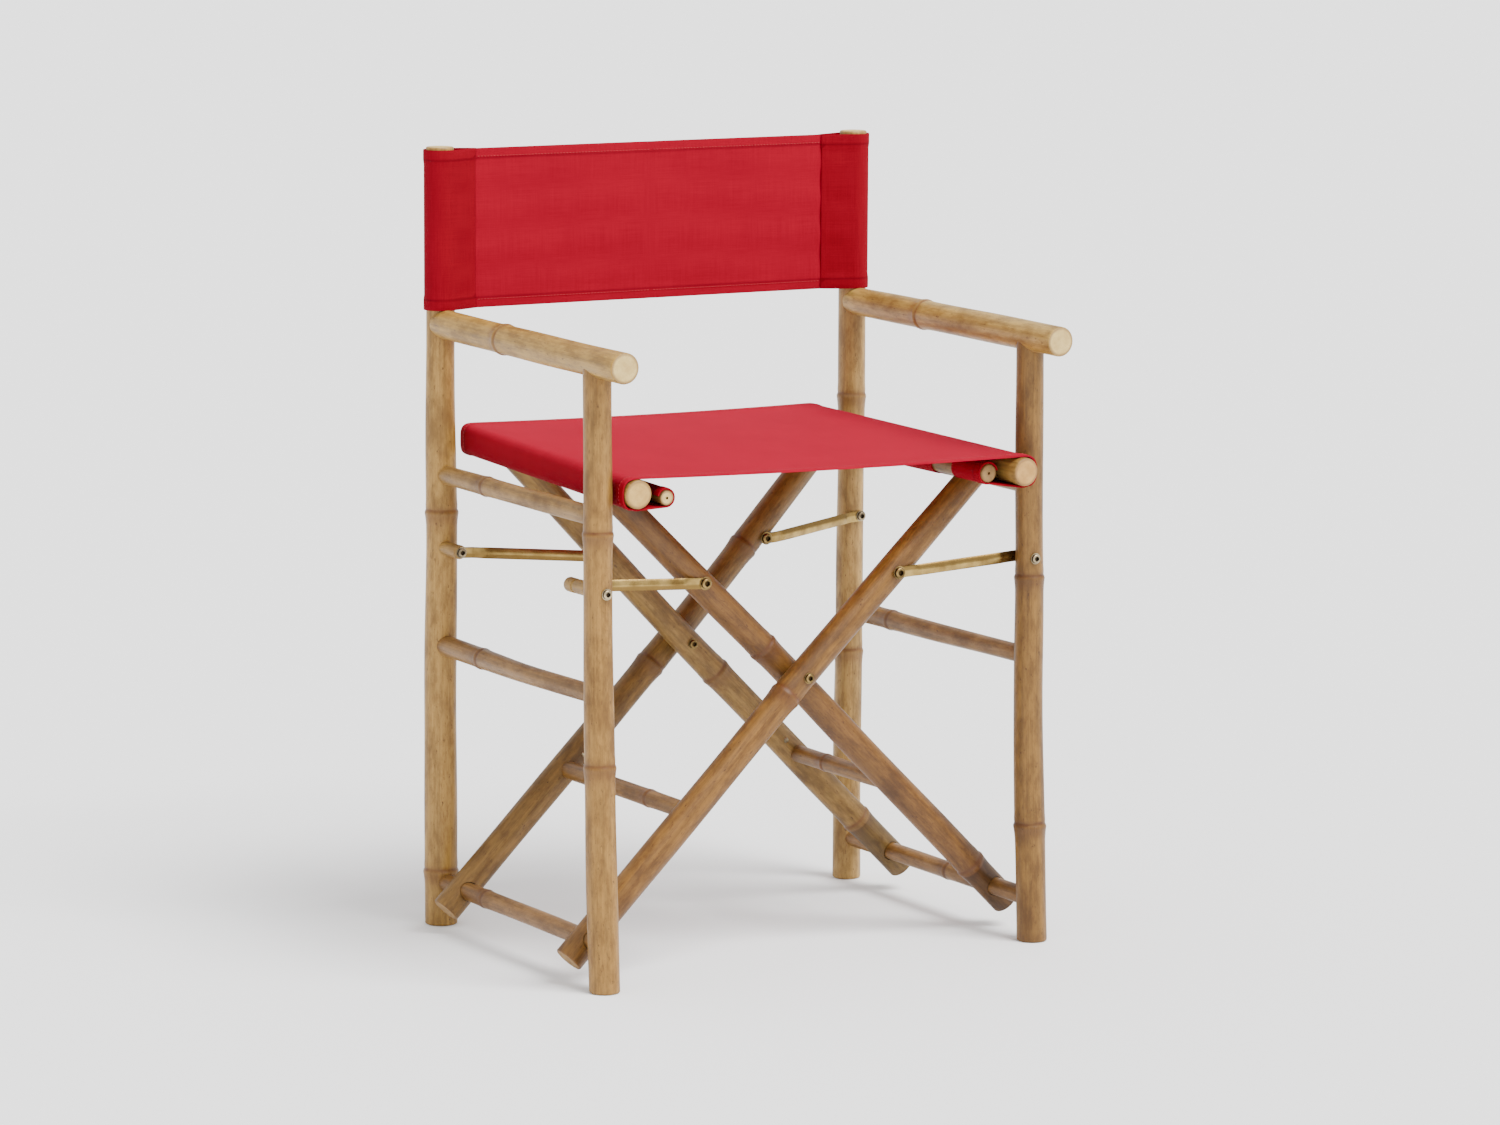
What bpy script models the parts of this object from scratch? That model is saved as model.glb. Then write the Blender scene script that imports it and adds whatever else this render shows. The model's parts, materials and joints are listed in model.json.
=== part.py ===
"""Folding bamboo director chair with a canvas seat and back.

Metres, +Z up. The sitter faces -Y and +X is on the right seen from the front. The origin is on
the floor, under the middle of the chair's width and depth. Two side frames stand on the floor.
Two crossed leg frames turn on the side frames' foot rods and on each other's centre bolts, and
four brass links tie their upper halves to the posts. The outer leg frame runs from the left foot
rod up to the right seat pole, and the inner one from the right foot rod up to the left seat pole.
"""
import math

import bmesh
import bpy
from mathutils import Matrix, Vector

# Overall stance
HEIGHT = 0.880
POST_X_FRONT = 0.2723
POST_X_REAR = 0.2675
POST_Y_FRONT = -0.198
POST_Y_REAR = 0.198
POST_BOW = 0.001
FRONT_POST_LINK_Y = -0.182
FRONT_POST_TOP_Y = -0.179
ARM_Z = 0.679
ARM_RISE = 0.004
ARM_FRONT_Y = -0.241

# The fold: foot rods, centre bolts and link pivots are axes along Y
FOOT_X = 0.268
FOOT_Z = 0.049
CENTRE_Z = 0.3145
LINK_POST_X = 0.2705
LINK_POST_Z = 0.432
LINK_LEG_X = 0.113
LINK_LEG_Z = 0.4235

# Depth of each leg's centre line, front to rear
LEG_Y = {"front_outer": -0.148, "front_inner": -0.115, "rear_inner": 0.110, "rear_outer": 0.143}

# Bamboo radii
POST_R = 0.0162
REAR_FOOT_R = {"left": 0.0186, "right": 0.0164}
ARM_R = 0.0165
LEG_R = 0.0162
SEAT_POLE_R = 0.0158
DOWEL_R = {"left": 0.0084, "right": 0.0103}
RAIL_R = 0.0106
STRETCHER_R = 0.0100
FOOT_ROD_R = 0.0101
LEG_END = 0.031
STRETCHER_X = 0.140

# A small screw beside each stretcher's end, on the leg's inner face
PIN_OFFSET = 0.0175
PIN_R = 0.0014
PIN_HEAD_R = 0.0032
PIN_HEAD = 0.0012
PIN_DEPTH = 0.004

# Fasteners and links
BOLT_R = 0.0025
HEAD_R = 0.0058
HEAD_LENGTH = 0.0036
NUT_THICK = 0.004
BOLT_PAST_NUT = 0.002
LINK_WIDTH = 0.0122
LINK_THICK = 0.0016
LINK_TAB = 0.027
PEG_R = 0.0080
POLE_SCREW_R = 0.0020
POLE_SCREW_REACH = 0.048
POLE_SCREW_SINK = 0.0125

# Hidden dowels: upright into each front post, and level into each rear post
ARM_DOWEL_R = 0.0045
FRONT_DOWEL_LENGTH = 0.050
FRONT_DOWEL_RISE = 0.006
REAR_DOWEL_LENGTH = 0.045
REAR_DOWEL_SINK = 0.003

# Where the left links' pegs and the screws through the posts end
LEFT_PEG_END_Y = 0.142
PEG_SEAT = 0.006
KNOB_END_Y = -0.1145
KNOB_CHAMFER = 0.002
KNOB_SCREW_SHORT = 0.006
POST_SCREW_REACH = 0.012
BORE_END = 0.0005
BORE_ENTRY = 0.010

# Canvas
CLOTH = 0.0012
NOTCH_WIDTH = 0.040
SLEEVE_CORNER = 0.004
SEAT_END_Y = {"left": (-0.2045, 0.197), "right": (-0.2225, 0.203)}
BACK_BOTTOM_Z = 0.699
BACK_TOP_Z = 0.8765
BACK_Y = POST_Y_REAR - 0.002
# Each sleeve is drawn in this near to the post, so that the seat poles' ends pass it as they rise
BACK_SEAM_X = 0.2330

GAP = 0.0003
PIVOT_GAP = 0.0006
SIDES = 16

# Poles stay as (centre line, radii) under their names, so that neighbours can be fitted to them.
poles = {}
axes = {}
materials = {}


def clear_scene():
    for obj in list(bpy.data.objects):
        bpy.data.objects.remove(obj, do_unlink=True)


def material(name, colour, roughness, metallic=0.0):
    made = bpy.data.materials.new(name)
    made.use_nodes = True
    shader = made.node_tree.nodes["Principled BSDF"]
    shader.inputs["Base Color"].default_value = (*colour, 1.0)
    shader.inputs["Roughness"].default_value = roughness
    shader.inputs["Metallic"].default_value = metallic
    materials[name] = made


def make_materials():
    material("bamboo", (0.46, 0.29, 0.13), 0.45)
    material("bamboo_leg", (0.36, 0.20, 0.09), 0.45)
    material("canvas", (0.52, 0.02, 0.03), 0.85)
    material("brass", (0.58, 0.44, 0.20), 0.30, 1.0)
    material("steel", (0.62, 0.57, 0.45), 0.35, 1.0)


def axis_empty(name, position, parent=None):
    """An empty on a joint's axis, which carries the pieces that turn on it."""
    empty = bpy.data.objects.new(name, None)
    empty.empty_display_size = 0.03
    bpy.context.scene.collection.objects.link(empty)
    empty.location = Vector(position)
    if parent is not None:
        empty.parent = axes[parent]
        empty.location = Vector(position) - axes[parent].matrix_world.translation
    axes[name] = empty
    bpy.context.view_layer.update()


def object_from(bm, name, finish=None, body=None):
    """Turns a mesh built in world coordinates into an object that hangs on its body's empty."""
    mesh = bpy.data.meshes.new(name)
    bmesh.ops.recalc_face_normals(bm, faces=bm.faces)
    if body is not None:
        bmesh.ops.translate(bm, verts=bm.verts, vec=-axes[body].matrix_world.translation)
    bm.to_mesh(mesh)
    bm.free()
    mesh.shade_smooth()
    mesh.set_sharp_from_angle(angle=math.radians(40))
    obj = bpy.data.objects.new(name, mesh)
    bpy.context.scene.collection.objects.link(obj)
    if finish is not None:
        mesh.materials.append(materials[finish])
    if body is not None:
        obj.parent = axes[body]
    return obj


def ring_frames(path):
    """A centre, a side direction and an up direction for each point of a gently bent line.

    An upright pole that starts on the floor is sawn level at both ends.
    """
    points = [Vector(point) for point in path]
    overall = (points[-1] - points[0]).normalized()
    level = points[0].z == 0
    side = overall.orthogonal().normalized()
    frames = []
    for index, point in enumerate(points):
        before = points[max(index - 1, 0)]
        after = points[min(index + 1, len(points) - 1)]
        along = (after - before).normalized()
        if level and index in (0, len(points) - 1):
            along = Vector((0, 0, 1))
        side = (side - along * side.dot(along)).normalized()
        frames.append((point, side, along.cross(side)))
    return frames


def tube_mesh(path, radii, sides=SIDES):
    bm = bmesh.new()
    rings = []
    for (centre, side, up), radius in zip(ring_frames(path), radii):
        ring = []
        for step in range(sides):
            angle = 2 * math.pi * step / sides
            ring.append(bm.verts.new(centre + radius * (math.cos(angle) * side + math.sin(angle) * up)))
        rings.append(ring)
    for low, high in zip(rings, rings[1:]):
        for step in range(sides):
            following = (step + 1) % sides
            bm.faces.new((low[step], low[following], high[following], high[step]))
    bm.faces.new(rings[0][::-1])
    bm.faces.new(rings[-1])
    return bm


def pole(name, path, radii, body, finish="bamboo", sides=SIDES):
    """A solid bamboo pole along a gently bent centre line, with a radius at each of its points."""
    if isinstance(radii, float):
        radii = [radii] * len(path)
    poles[name] = (path, radii, sides)
    object_from(tube_mesh(path, radii, sides), name, finish, body)


def subtract(obj, cutter):
    cutter.parent = axes["left_frame"]
    cutter.hide_render = True
    cutter.display_type = "WIRE"
    boolean = obj.modifiers.new("cut_" + cutter.name, "BOOLEAN")
    boolean.object = cutter
    boolean.operation = "DIFFERENCE"


def cope(name, *others, gap=GAP):
    """Cuts a pole back so that it fits round its neighbours with a small gap."""
    for other in others:
        path, radii, sides = poles[other]
        bm = tube_mesh(path, [radius + gap for radius in radii], sides)
        subtract(bpy.data.objects[name], object_from(bm, f"cutter_{name}_{other}"))


def bore(name, start, end, radius, tag):
    bm = tube_mesh((start, end), (radius, radius), 10)
    subtract(bpy.data.objects[name], object_from(bm, f"cutter_{name}_{tag}"))


def between(low, high, share):
    return Vector(low).lerp(Vector(high), share)


def side_frame(side, sign, body):
    """Two posts, an armrest, two side rails and the foot rod that the legs turn on."""
    front_x = sign * POST_X_FRONT
    rear_x = sign * POST_X_REAR
    rear_foot_r = REAR_FOOT_R[side]
    pole(f"{side}_rear_post",
         ((rear_x, POST_Y_REAR, 0), (rear_x, POST_Y_REAR + POST_BOW, 0.16),
          (rear_x, BACK_Y - POST_BOW, 0.48), (rear_x, BACK_Y, 0.66), (rear_x, BACK_Y, HEIGHT)),
         (rear_foot_r, rear_foot_r, rear_foot_r - 0.0010, POST_R - 0.0002, POST_R - 0.0004), body)
    pole(f"{side}_front_post",
         ((front_x, POST_Y_FRONT, 0), (front_x, POST_Y_FRONT + 0.009, 0.15),
          (front_x, POST_Y_FRONT + 0.0145, 0.32), (front_x, FRONT_POST_LINK_Y, 0.44),
          (front_x, FRONT_POST_TOP_Y, ARM_Z - 0.004)),
         (POST_R + 0.0008, POST_R + 0.0008, POST_R, POST_R - 0.0006, POST_R - 0.0008), body)
    pole(f"{side}_armrest",
         ((rear_x, POST_Y_REAR - 0.006, ARM_Z + ARM_RISE), (front_x, -0.060, ARM_Z + 0.001),
          (front_x, ARM_FRONT_Y, ARM_Z - 0.001)),
         (ARM_R - 0.0004, ARM_R, ARM_R + 0.0002), body)
    pole(f"{side}_upper_rail",
         ((rear_x, POST_Y_REAR - 0.006, 0.5140), (front_x, 0.04, 0.5142),
          (front_x, POST_Y_FRONT + 0.020, 0.5130)), RAIL_R, body, sides=12)
    pole(f"{side}_lower_rail",
         ((rear_x, POST_Y_REAR - 0.006, 0.3207), (front_x, 0.0, 0.3190),
          (front_x, POST_Y_FRONT + 0.018, 0.3207)),
         (RAIL_R + 0.0014, RAIL_R, RAIL_R - 0.0006), body, sides=12)
    foot_x = sign * FOOT_X
    pole(f"{side}_foot_rod",
         ((foot_x, POST_Y_REAR - 0.006, FOOT_Z), (foot_x, POST_Y_FRONT + 0.010, FOOT_Z)),
         FOOT_ROD_R, body, sides=12)
    for rail in ("armrest", "upper_rail", "lower_rail", "foot_rod"):
        cope(f"{side}_{rail}", f"{side}_rear_post")
    for rail in ("upper_rail", "lower_rail", "foot_rod"):
        cope(f"{side}_{rail}", f"{side}_front_post")
    cope(f"{side}_front_post", f"{side}_armrest")
    hidden_dowels(side, rear_x, front_x, body)


def hidden_dowels(side, rear_x, front_x, body):
    """Glued dowels inside the joints that hold the armrest on its two posts."""
    top = Vector((front_x, FRONT_POST_TOP_Y, ARM_Z + FRONT_DOWEL_RISE))
    bottom = top - Vector((0, 0, FRONT_DOWEL_LENGTH))
    pole(f"{side}_armrest_front_dowel", (bottom, top), ARM_DOWEL_R, body, sides=10)
    rear = Vector((rear_x, POST_Y_REAR - REAR_DOWEL_SINK, ARM_Z + ARM_RISE))
    front = rear - Vector((0, REAR_DOWEL_LENGTH, 0))
    pole(f"{side}_armrest_rear_dowel", (rear, front), ARM_DOWEL_R, body, sides=10)
    joined = {"front_dowel": ("armrest", "front_post"), "rear_dowel": ("armrest", "rear_post")}
    for name, others in joined.items():
        for other in others:
            cope(f"{side}_{other}", f"{side}_armrest_{name}")


SEAT_POLE_LINE = {
    "left": (Vector((-0.2375, -0.2085, 0.5380)), Vector((-0.2240, 0.2000, 0.5510))),
    "right": (Vector((0.2375, -0.2290, 0.5345)), Vector((0.2100, 0.2060, 0.5470))),
}
DOWEL_LINE = {
    "left": (Vector((-0.2025, -0.2070, 0.5322)), Vector((-0.1900, 0.2000, 0.5425))),
    "right": (Vector((0.2020, -0.2080, 0.5330)), Vector((0.1760, 0.2060, 0.5395))),
}


def on_line(line, y):
    start, end = line
    return start.lerp(end, (y - start.y) / (end.y - start.y))


def leg(name, seat_side, depth, body):
    """One leg, from below its foot rod, through the centre bolt, up to its seat pole."""
    sign = 1 if seat_side == "right" else -1
    foot = Vector((-sign * FOOT_X, depth, FOOT_Z))
    centre = Vector((0, depth, CENTRE_Z))
    top = on_line(SEAT_POLE_LINE[seat_side], depth)
    end = foot + (foot - centre).normalized() * LEG_END
    low = between(foot, centre, 0.5)
    pole(name, (end, low, centre, between(centre, top, 0.5), between(centre, top, 0.985)),
         (LEG_R + 0.0002, LEG_R + 0.0002, LEG_R - 0.0002, LEG_R - 0.0002, LEG_R - 0.0004), body,
         "bamboo_leg")


def leg_frame(which, seat_side, body):
    """A front and a rear leg with their stretcher, the seat pole on top and the canvas dowel."""
    sign = 1 if seat_side == "right" else -1
    front_y = LEG_Y[f"front_{which}"]
    rear_y = LEG_Y[f"rear_{which}"]
    foot_side = "left" if seat_side == "right" else "right"
    for end, depth in (("front", front_y), ("rear", rear_y)):
        leg(f"{which}_{end}_leg", seat_side, depth, body)
    share = STRETCHER_X / FOOT_X
    stretcher_z = CENTRE_Z + (FOOT_Z - CENTRE_Z) * share
    stretcher_x = -sign * STRETCHER_X
    pole(f"{which}_stretcher",
         ((stretcher_x, rear_y, stretcher_z), (stretcher_x, front_y, stretcher_z)),
         (STRETCHER_R, STRETCHER_R - 0.0006), body, "bamboo_leg", sides=12)
    pole(f"{seat_side}_seat_pole", SEAT_POLE_LINE[seat_side], SEAT_POLE_R, body)
    pole(f"{seat_side}_canvas_dowel", DOWEL_LINE[seat_side], DOWEL_R[seat_side], body, sides=12)
    for end in ("front", "rear"):
        name = f"{which}_{end}_leg"
        cope(f"{which}_stretcher", name)
        cope(name, f"{seat_side}_seat_pole", f"{seat_side}_canvas_dowel")
        cope(name, f"{foot_side}_foot_rod", gap=PIVOT_GAP)
        seat_pole_screw(which, end, seat_side, body)
        stretcher_pin(which, end, seat_side, body)


def stretcher_pin(which, end, seat_side, body):
    """A small screw in the leg's inner face, just above the stretcher's end."""
    leg_name = f"{which}_{end}_leg"
    from_centre = STRETCHER_X - PIN_OFFSET
    x = from_centre * (-1 if seat_side == "right" else 1)
    z = CENTRE_Z + (FOOT_Z - CENTRE_Z) * from_centre / FOOT_X
    depth = LEG_Y[f"{end}_{which}"]
    facing = 1 if end == "front" else -1
    face = depth + facing * (LEG_R + 2 * GAP)
    tip = depth + facing * PIN_DEPTH
    turned(f"{which}_{end}_stretcher_pin", x, z,
           ((face + facing * PIN_HEAD, PIN_HEAD_R * 0.62), (face, PIN_HEAD_R), (face, PIN_R), (tip, PIN_R)),
           "steel", body, 8)
    bore(leg_name, (x, tip - facing * GAP, z), (x, face + facing * LEG_R, z), PIN_R + GAP, "pin")


def seat_pole_screw(which, end, seat_side, body):
    """The long screw through the seat pole into the top of a leg, sunk under the canvas."""
    leg_name = f"{which}_{end}_leg"
    path = poles[leg_name][0]
    line_end = on_line(SEAT_POLE_LINE[seat_side], path[-1].y)
    along = (line_end - path[-2]).normalized()
    head = line_end + along * POLE_SCREW_SINK
    tip = line_end - along * POLE_SCREW_REACH
    name = f"{which}_{end}_pole_screw"
    pole(name, (tip, head), POLE_SCREW_R, body, "steel", sides=8)
    cope(leg_name, name)
    cope(f"{seat_side}_seat_pole", name)
    bore(f"{seat_side}_seat_pole", head - along * GAP, head + along * SEAT_POLE_R, 2 * POLE_SCREW_R, name)


def bolt(name, x, z, face_y, end_y, body, finish="brass"):
    """A round-headed bolt along Y: its head in front of the face, its shank through to its end."""
    turned(name, x, z, ((face_y - HEAD_LENGTH, HEAD_R * 0.55), (face_y - HEAD_LENGTH * 0.45, HEAD_R * 0.95),
                        (face_y - GAP, HEAD_R), (face_y - GAP, BOLT_R), (end_y, BOLT_R)), finish, body)


def turned(name, x, z, profile, finish, body, sides=12):
    """A piece turned about a line along Y. Its profile is a list of (y, radius)."""
    bm = bmesh.new()
    rings = []
    for y, radius in profile:
        ring = []
        for step in range(sides):
            angle = 2 * math.pi * step / sides
            ring.append(bm.verts.new((x + radius * math.cos(angle), y, z + radius * math.sin(angle))))
        rings.append(ring)
    for low, high in zip(rings, rings[1:]):
        for step in range(sides):
            following = (step + 1) % sides
            bm.faces.new((low[step], low[following], high[following], high[step]))
    bm.faces.new(rings[0])
    bm.faces.new(rings[-1])
    object_from(bm, name, finish, body)


def centre_bolts():
    """The two bolts that the leg frames turn on, with their nuts."""
    for end, front, rear in (("front", "front_outer", "front_inner"), ("rear", "rear_inner", "rear_outer")):
        head_face = LEG_Y[front] - LEG_R
        nut_face = LEG_Y[rear] + LEG_R
        body = "outer_legs"
        bolt(f"{end}_centre_bolt", 0, CENTRE_Z, head_face, nut_face + NUT_THICK + BOLT_PAST_NUT, body)
        for depth_name in (front, rear):
            end_name, which = depth_name.split("_")
            bore(f"{which}_{end_name}_leg", (0, head_face - BORE_ENTRY, CENTRE_Z),
                 (0, nut_face + BORE_ENTRY, CENTRE_Z), BOLT_R + GAP, "centre")
        nut(f"{end}_centre_nut", 0, CENTRE_Z, nut_face + GAP, body)


def nut(name, x, z, face_y, body):
    """A six-sided nut on a bolt's end. Its bore clears the shank."""
    turned(name, x, z, ((face_y, HEAD_R), (face_y + NUT_THICK, HEAD_R)), "brass", body, sides=6)
    bore(name, (x, face_y - BORE_ENTRY, z), (x, face_y + BORE_ENTRY, z), BOLT_R + GAP, "thread")


def link(name, sign, post_y, leg_y, body):
    """A pressed brass strip with a flat tab at each end, stepped where its ends lie at two depths."""
    start = Vector((sign * LINK_POST_X, 0, LINK_POST_Z))
    end = Vector((sign * LINK_LEG_X, 0, LINK_LEG_Z))
    along = (end - start).normalized()
    across = Vector((-along.z, 0, along.x))
    length = (end - start).length
    overhang = LINK_WIDTH * 0.5
    stations = ((-overhang, post_y, 0.62), (-overhang * 0.5, post_y, 0.95), (0.0, post_y, 1.0),
                (LINK_TAB * 0.5, post_y, 1.0), (length * 0.62, leg_y, 1.0), (length, leg_y, 1.0),
                (length + overhang * 0.5, leg_y, 0.95), (length + overhang, leg_y, 0.62))
    bm = bmesh.new()
    rows = []
    for distance, depth, share in stations:
        middle = start + along * distance
        row = []
        for offset, lift in ((-1, 0), (1, 0), (1, 1), (-1, 1)):
            point = middle + across * (offset * share * LINK_WIDTH / 2)
            point.y = depth + lift * LINK_THICK
            row.append(bm.verts.new(point))
        rows.append(row)
    for low, high in zip(rows, rows[1:]):
        for corner in range(4):
            following = (corner + 1) % 4
            bm.faces.new((low[corner], low[following], high[following], high[corner]))
    bm.faces.new(rows[0])
    bm.faces.new(rows[-1])
    object_from(bm, name, "brass", body)
    for tag, place, depth in (("post_hole", start, post_y), ("leg_hole", end, leg_y)):
        bore(name, (place.x, depth - BORE_ENTRY, place.z), (place.x, depth + BORE_ENTRY, place.z),
             BOLT_R + GAP, tag)


def links():
    """Four links between the posts and the upper half of the legs, each on its leg's front face."""
    left_front_y = LEG_Y["front_inner"] - LEG_R - LINK_THICK - 2 * GAP
    right_front_y = LEG_Y["front_outer"] - LEG_R - LINK_THICK - 2 * GAP
    left_rear_leg_y = LEG_Y["rear_inner"] - LEG_R - LINK_THICK - 2 * GAP
    right_rear_leg_y = LEG_Y["rear_outer"] - LEG_R - LINK_THICK - 2 * GAP
    post_front_face = FRONT_POST_LINK_Y - POST_R
    post_rear_face = FRONT_POST_LINK_Y + POST_R
    rear_post_face = BACK_Y - POST_R
    right_rear_post_y = rear_post_face - LINK_THICK - 3 * GAP
    screw_end = rear_post_face + POST_SCREW_REACH
    clear = BOLT_R + GAP

    link("left_front_link", -1, left_front_y, left_front_y, "left_front_link_pivot")
    link("right_front_link", 1, right_front_y, right_front_y, "right_front_link_pivot")
    link("left_rear_link", -1, LEFT_PEG_END_Y - LINK_THICK - GAP, left_rear_leg_y, "left_rear_link_pivot")
    link("right_rear_link", 1, right_rear_post_y, right_rear_leg_y, "right_rear_link_pivot")

    x = -LINK_POST_X
    z = LINK_POST_Z
    knob_screw_end = KNOB_END_Y - KNOB_SCREW_SHORT
    turned("left_front_link_spacer", x, z,
           ((post_rear_face - PEG_SEAT, PEG_R), (left_front_y - GAP, PEG_R)), "bamboo", "left_frame", 14)
    turned("left_front_link_knob", x, z,
           ((left_front_y + LINK_THICK + GAP, PEG_R), (KNOB_END_Y - KNOB_CHAMFER, PEG_R),
            (KNOB_END_Y, PEG_R - KNOB_CHAMFER)), "bamboo", "left_frame", 14)
    bolt("left_front_link_screw", x, z, post_front_face, knob_screw_end, "left_frame", "steel")
    cope("left_front_link_spacer", "left_front_post")
    for holed in ("left_front_post", "left_front_link_spacer", "left_front_link_knob"):
        bore(holed, (x, post_front_face - BORE_ENTRY, z), (x, knob_screw_end + BORE_END, z), clear,
             "link_screw")

    turned("left_rear_link_peg", x, z,
           ((LEFT_PEG_END_Y, PEG_R), (rear_post_face + PEG_SEAT, PEG_R)), "bamboo", "left_frame", 14)
    cope("left_rear_link_peg", "left_rear_post")
    bolt("left_rear_link_screw", x, z, LEFT_PEG_END_Y - LINK_THICK - 2 * GAP, screw_end, "left_frame",
         "steel")
    for holed in ("left_rear_link_peg", "left_rear_post"):
        bore(holed, (x, LEFT_PEG_END_Y - BORE_ENTRY, z), (x, screw_end + BORE_END, z), clear,
             "link_screw")

    x = LINK_POST_X
    bolt("right_front_link_screw", x, z, post_front_face, right_front_y + LINK_THICK + BOLT_PAST_NUT,
         "right_frame", "steel")
    bore("right_front_post", (x, post_front_face - BORE_ENTRY, z), (x, post_rear_face + BORE_ENTRY, z), clear,
         "link_screw")
    bolt("right_rear_link_screw", x, z, right_rear_post_y - GAP, screw_end, "right_frame", "steel")
    bore("right_rear_post", (x, rear_post_face - BORE_ENTRY, z), (x, screw_end + BORE_END, z), clear,
         "link_screw")

    for corner, sign, depth in (("left_front", -1, left_front_y), ("right_front", 1, right_front_y),
                                ("left_rear", -1, left_rear_leg_y), ("right_rear", 1, right_rear_leg_y)):
        bolt(f"{corner}_link_leg_bolt", sign * LINK_LEG_X, LINK_LEG_Z, depth - GAP, depth + LINK_THICK,
             f"{corner}_link_pivot")


def strip_points(centres, offset):
    """The points of a line moved sideways by an offset, in its own plane of X and Z."""
    moved = []
    for index, point in enumerate(centres):
        before = centres[max(index - 1, 0)]
        after = centres[min(index + 1, len(centres) - 1)]
        along = (after - before).normalized()
        moved.append(point + Vector((-along.z, 0, along.x)) * offset)
    return moved


def arc(centre, radius, start, end, count):
    """Points on a circle in the X-Z plane, from one angle to another in degrees."""
    found = []
    for step in range(count):
        angle = math.radians(start + (end - start) * step / (count - 1))
        found.append(centre + radius * Vector((math.cos(angle), 0, math.sin(angle))))
    return found


def sling_half(side, y):
    """The canvas on one side in section: a loop round the dowel, then round the pole to its top."""
    pole_at = on_line(SEAT_POLE_LINE[side], y)
    dowel_at = on_line(DOWEL_LINE[side], y)
    pole_r = SEAT_POLE_R + 2 * GAP + CLOTH / 2
    dowel_r = DOWEL_R[side] + 2 * GAP + CLOTH / 2
    if side == "left":
        hem = arc(dowel_at, dowel_r, 165, -95, 13)
        wrap = arc(pole_at, pole_r, -80, -270, 12)
        return hem + wrap
    hem = arc(dowel_at, dowel_r, 15, 275, 13)
    wrap = arc(pole_at, pole_r, -100, 90, 12)
    return hem + wrap


def seat_sling():
    """One canvas from dowel to dowel. It is notched where the legs reach the poles."""
    sections = []
    for share in (0.0, 1.0):
        left = sling_half("left", SEAT_END_Y["left"][0] * (1 - share) + SEAT_END_Y["left"][1] * share)
        right = sling_half("right", SEAT_END_Y["right"][0] * (1 - share) + SEAT_END_Y["right"][1] * share)
        centres = left + right[::-1]
        sections.append(strip_points(centres, CLOTH / 2) + strip_points(centres, -CLOTH / 2)[::-1])
    bm = bmesh.new()
    rings = [[bm.verts.new(point) for point in section] for section in sections]
    count = len(rings[0])
    for corner in range(count):
        following = (corner + 1) % count
        bm.faces.new((rings[0][corner], rings[0][following], rings[1][following], rings[1][corner]))
    bm.faces.new(rings[0])
    bm.faces.new(rings[1])
    object_from(bm, "seat_sling", "canvas", "outer_legs")
    for name, side in (("front_inner", "left"), ("rear_inner", "left"),
                       ("front_outer", "right"), ("rear_outer", "right")):
        notch(name, side)


def notch(name, side):
    """A slot in the lower layer of the canvas round the top of one leg."""
    sign = -1 if side == "left" else 1
    depth = LEG_Y[name]
    dowel_at = on_line(DOWEL_LINE[side], depth)
    pole_at = on_line(SEAT_POLE_LINE[side], depth)
    inner = dowel_at.x - sign * 0.016
    outer = pole_at.x + sign * 0.0215
    low = min(dowel_at.z, pole_at.z) - 0.03
    high = pole_at.z + 0.0105
    bm = bmesh.new()
    bmesh.ops.create_cube(bm, size=1.0)
    scale = Matrix.Diagonal((abs(outer - inner), NOTCH_WIDTH, high - low, 1))
    place = Matrix.Translation(((inner + outer) / 2, depth, (low + high) / 2))
    bmesh.ops.transform(bm, matrix=place @ scale, verts=bm.verts)
    subtract(bpy.data.objects["seat_sling"], object_from(bm, f"cutter_seat_sling_{name}"))


def back_sleeve(side, sign, body):
    """The canvas tube round a rear post, drawn in to its seam at the post's centre plane."""
    post = Vector((sign * POST_X_REAR, BACK_Y, 0))
    radius = POST_R + 2 * GAP
    seam = Vector((sign * (BACK_SEAM_X + GAP), BACK_Y, 0))
    outline = []
    for layer, grow in (("outer", CLOTH), ("inner", 0.0)):
        reach = (seam - post).length - (SLEEVE_CORNER if layer == "inner" else 0)
        tangent = math.acos((radius + grow) / reach)
        points = []
        for step in range(17):
            angle = tangent + (2 * math.pi - 2 * tangent) * step / 16
            points.append(post + (radius + grow) * Vector((-sign * math.cos(angle), math.sin(angle), 0)))
        tip = post + Vector((-sign * reach, 0, 0))
        outline.append(points + [tip])
    bm = bmesh.new()
    levels = []
    for height in (BACK_BOTTOM_Z, BACK_TOP_Z):
        lift = Vector((0, 0, height))
        levels.append([[bm.verts.new(point + lift) for point in layer] for layer in outline])
    count = len(outline[0])
    for corner in range(count):
        following = (corner + 1) % count
        outer_low, inner_low = levels[0]
        outer_high, inner_high = levels[1]
        bm.faces.new((outer_low[corner], outer_low[following], outer_high[following], outer_high[corner]))
        bm.faces.new((inner_low[corner], inner_high[corner], inner_high[following], inner_low[following]))
        bm.faces.new((outer_low[corner], inner_low[corner], inner_low[following], outer_low[following]))
        bm.faces.new((outer_high[corner], outer_high[following], inner_high[following], inner_high[corner]))
    object_from(bm, f"back_sleeve_{side}", "canvas", body)


def back_panel():
    """The single layer of canvas between the two sleeve seams."""
    bm = bmesh.new()
    bmesh.ops.create_cube(bm, size=1.0)
    scale = Matrix.Diagonal((2 * (BACK_SEAM_X - GAP), CLOTH, BACK_TOP_Z - BACK_BOTTOM_Z, 1))
    place = Matrix.Translation((0, BACK_Y, (BACK_TOP_Z + BACK_BOTTOM_Z) / 2))
    bmesh.ops.transform(bm, matrix=place @ scale, verts=bm.verts)
    object_from(bm, "back_panel", "canvas", "left_frame")


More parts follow.
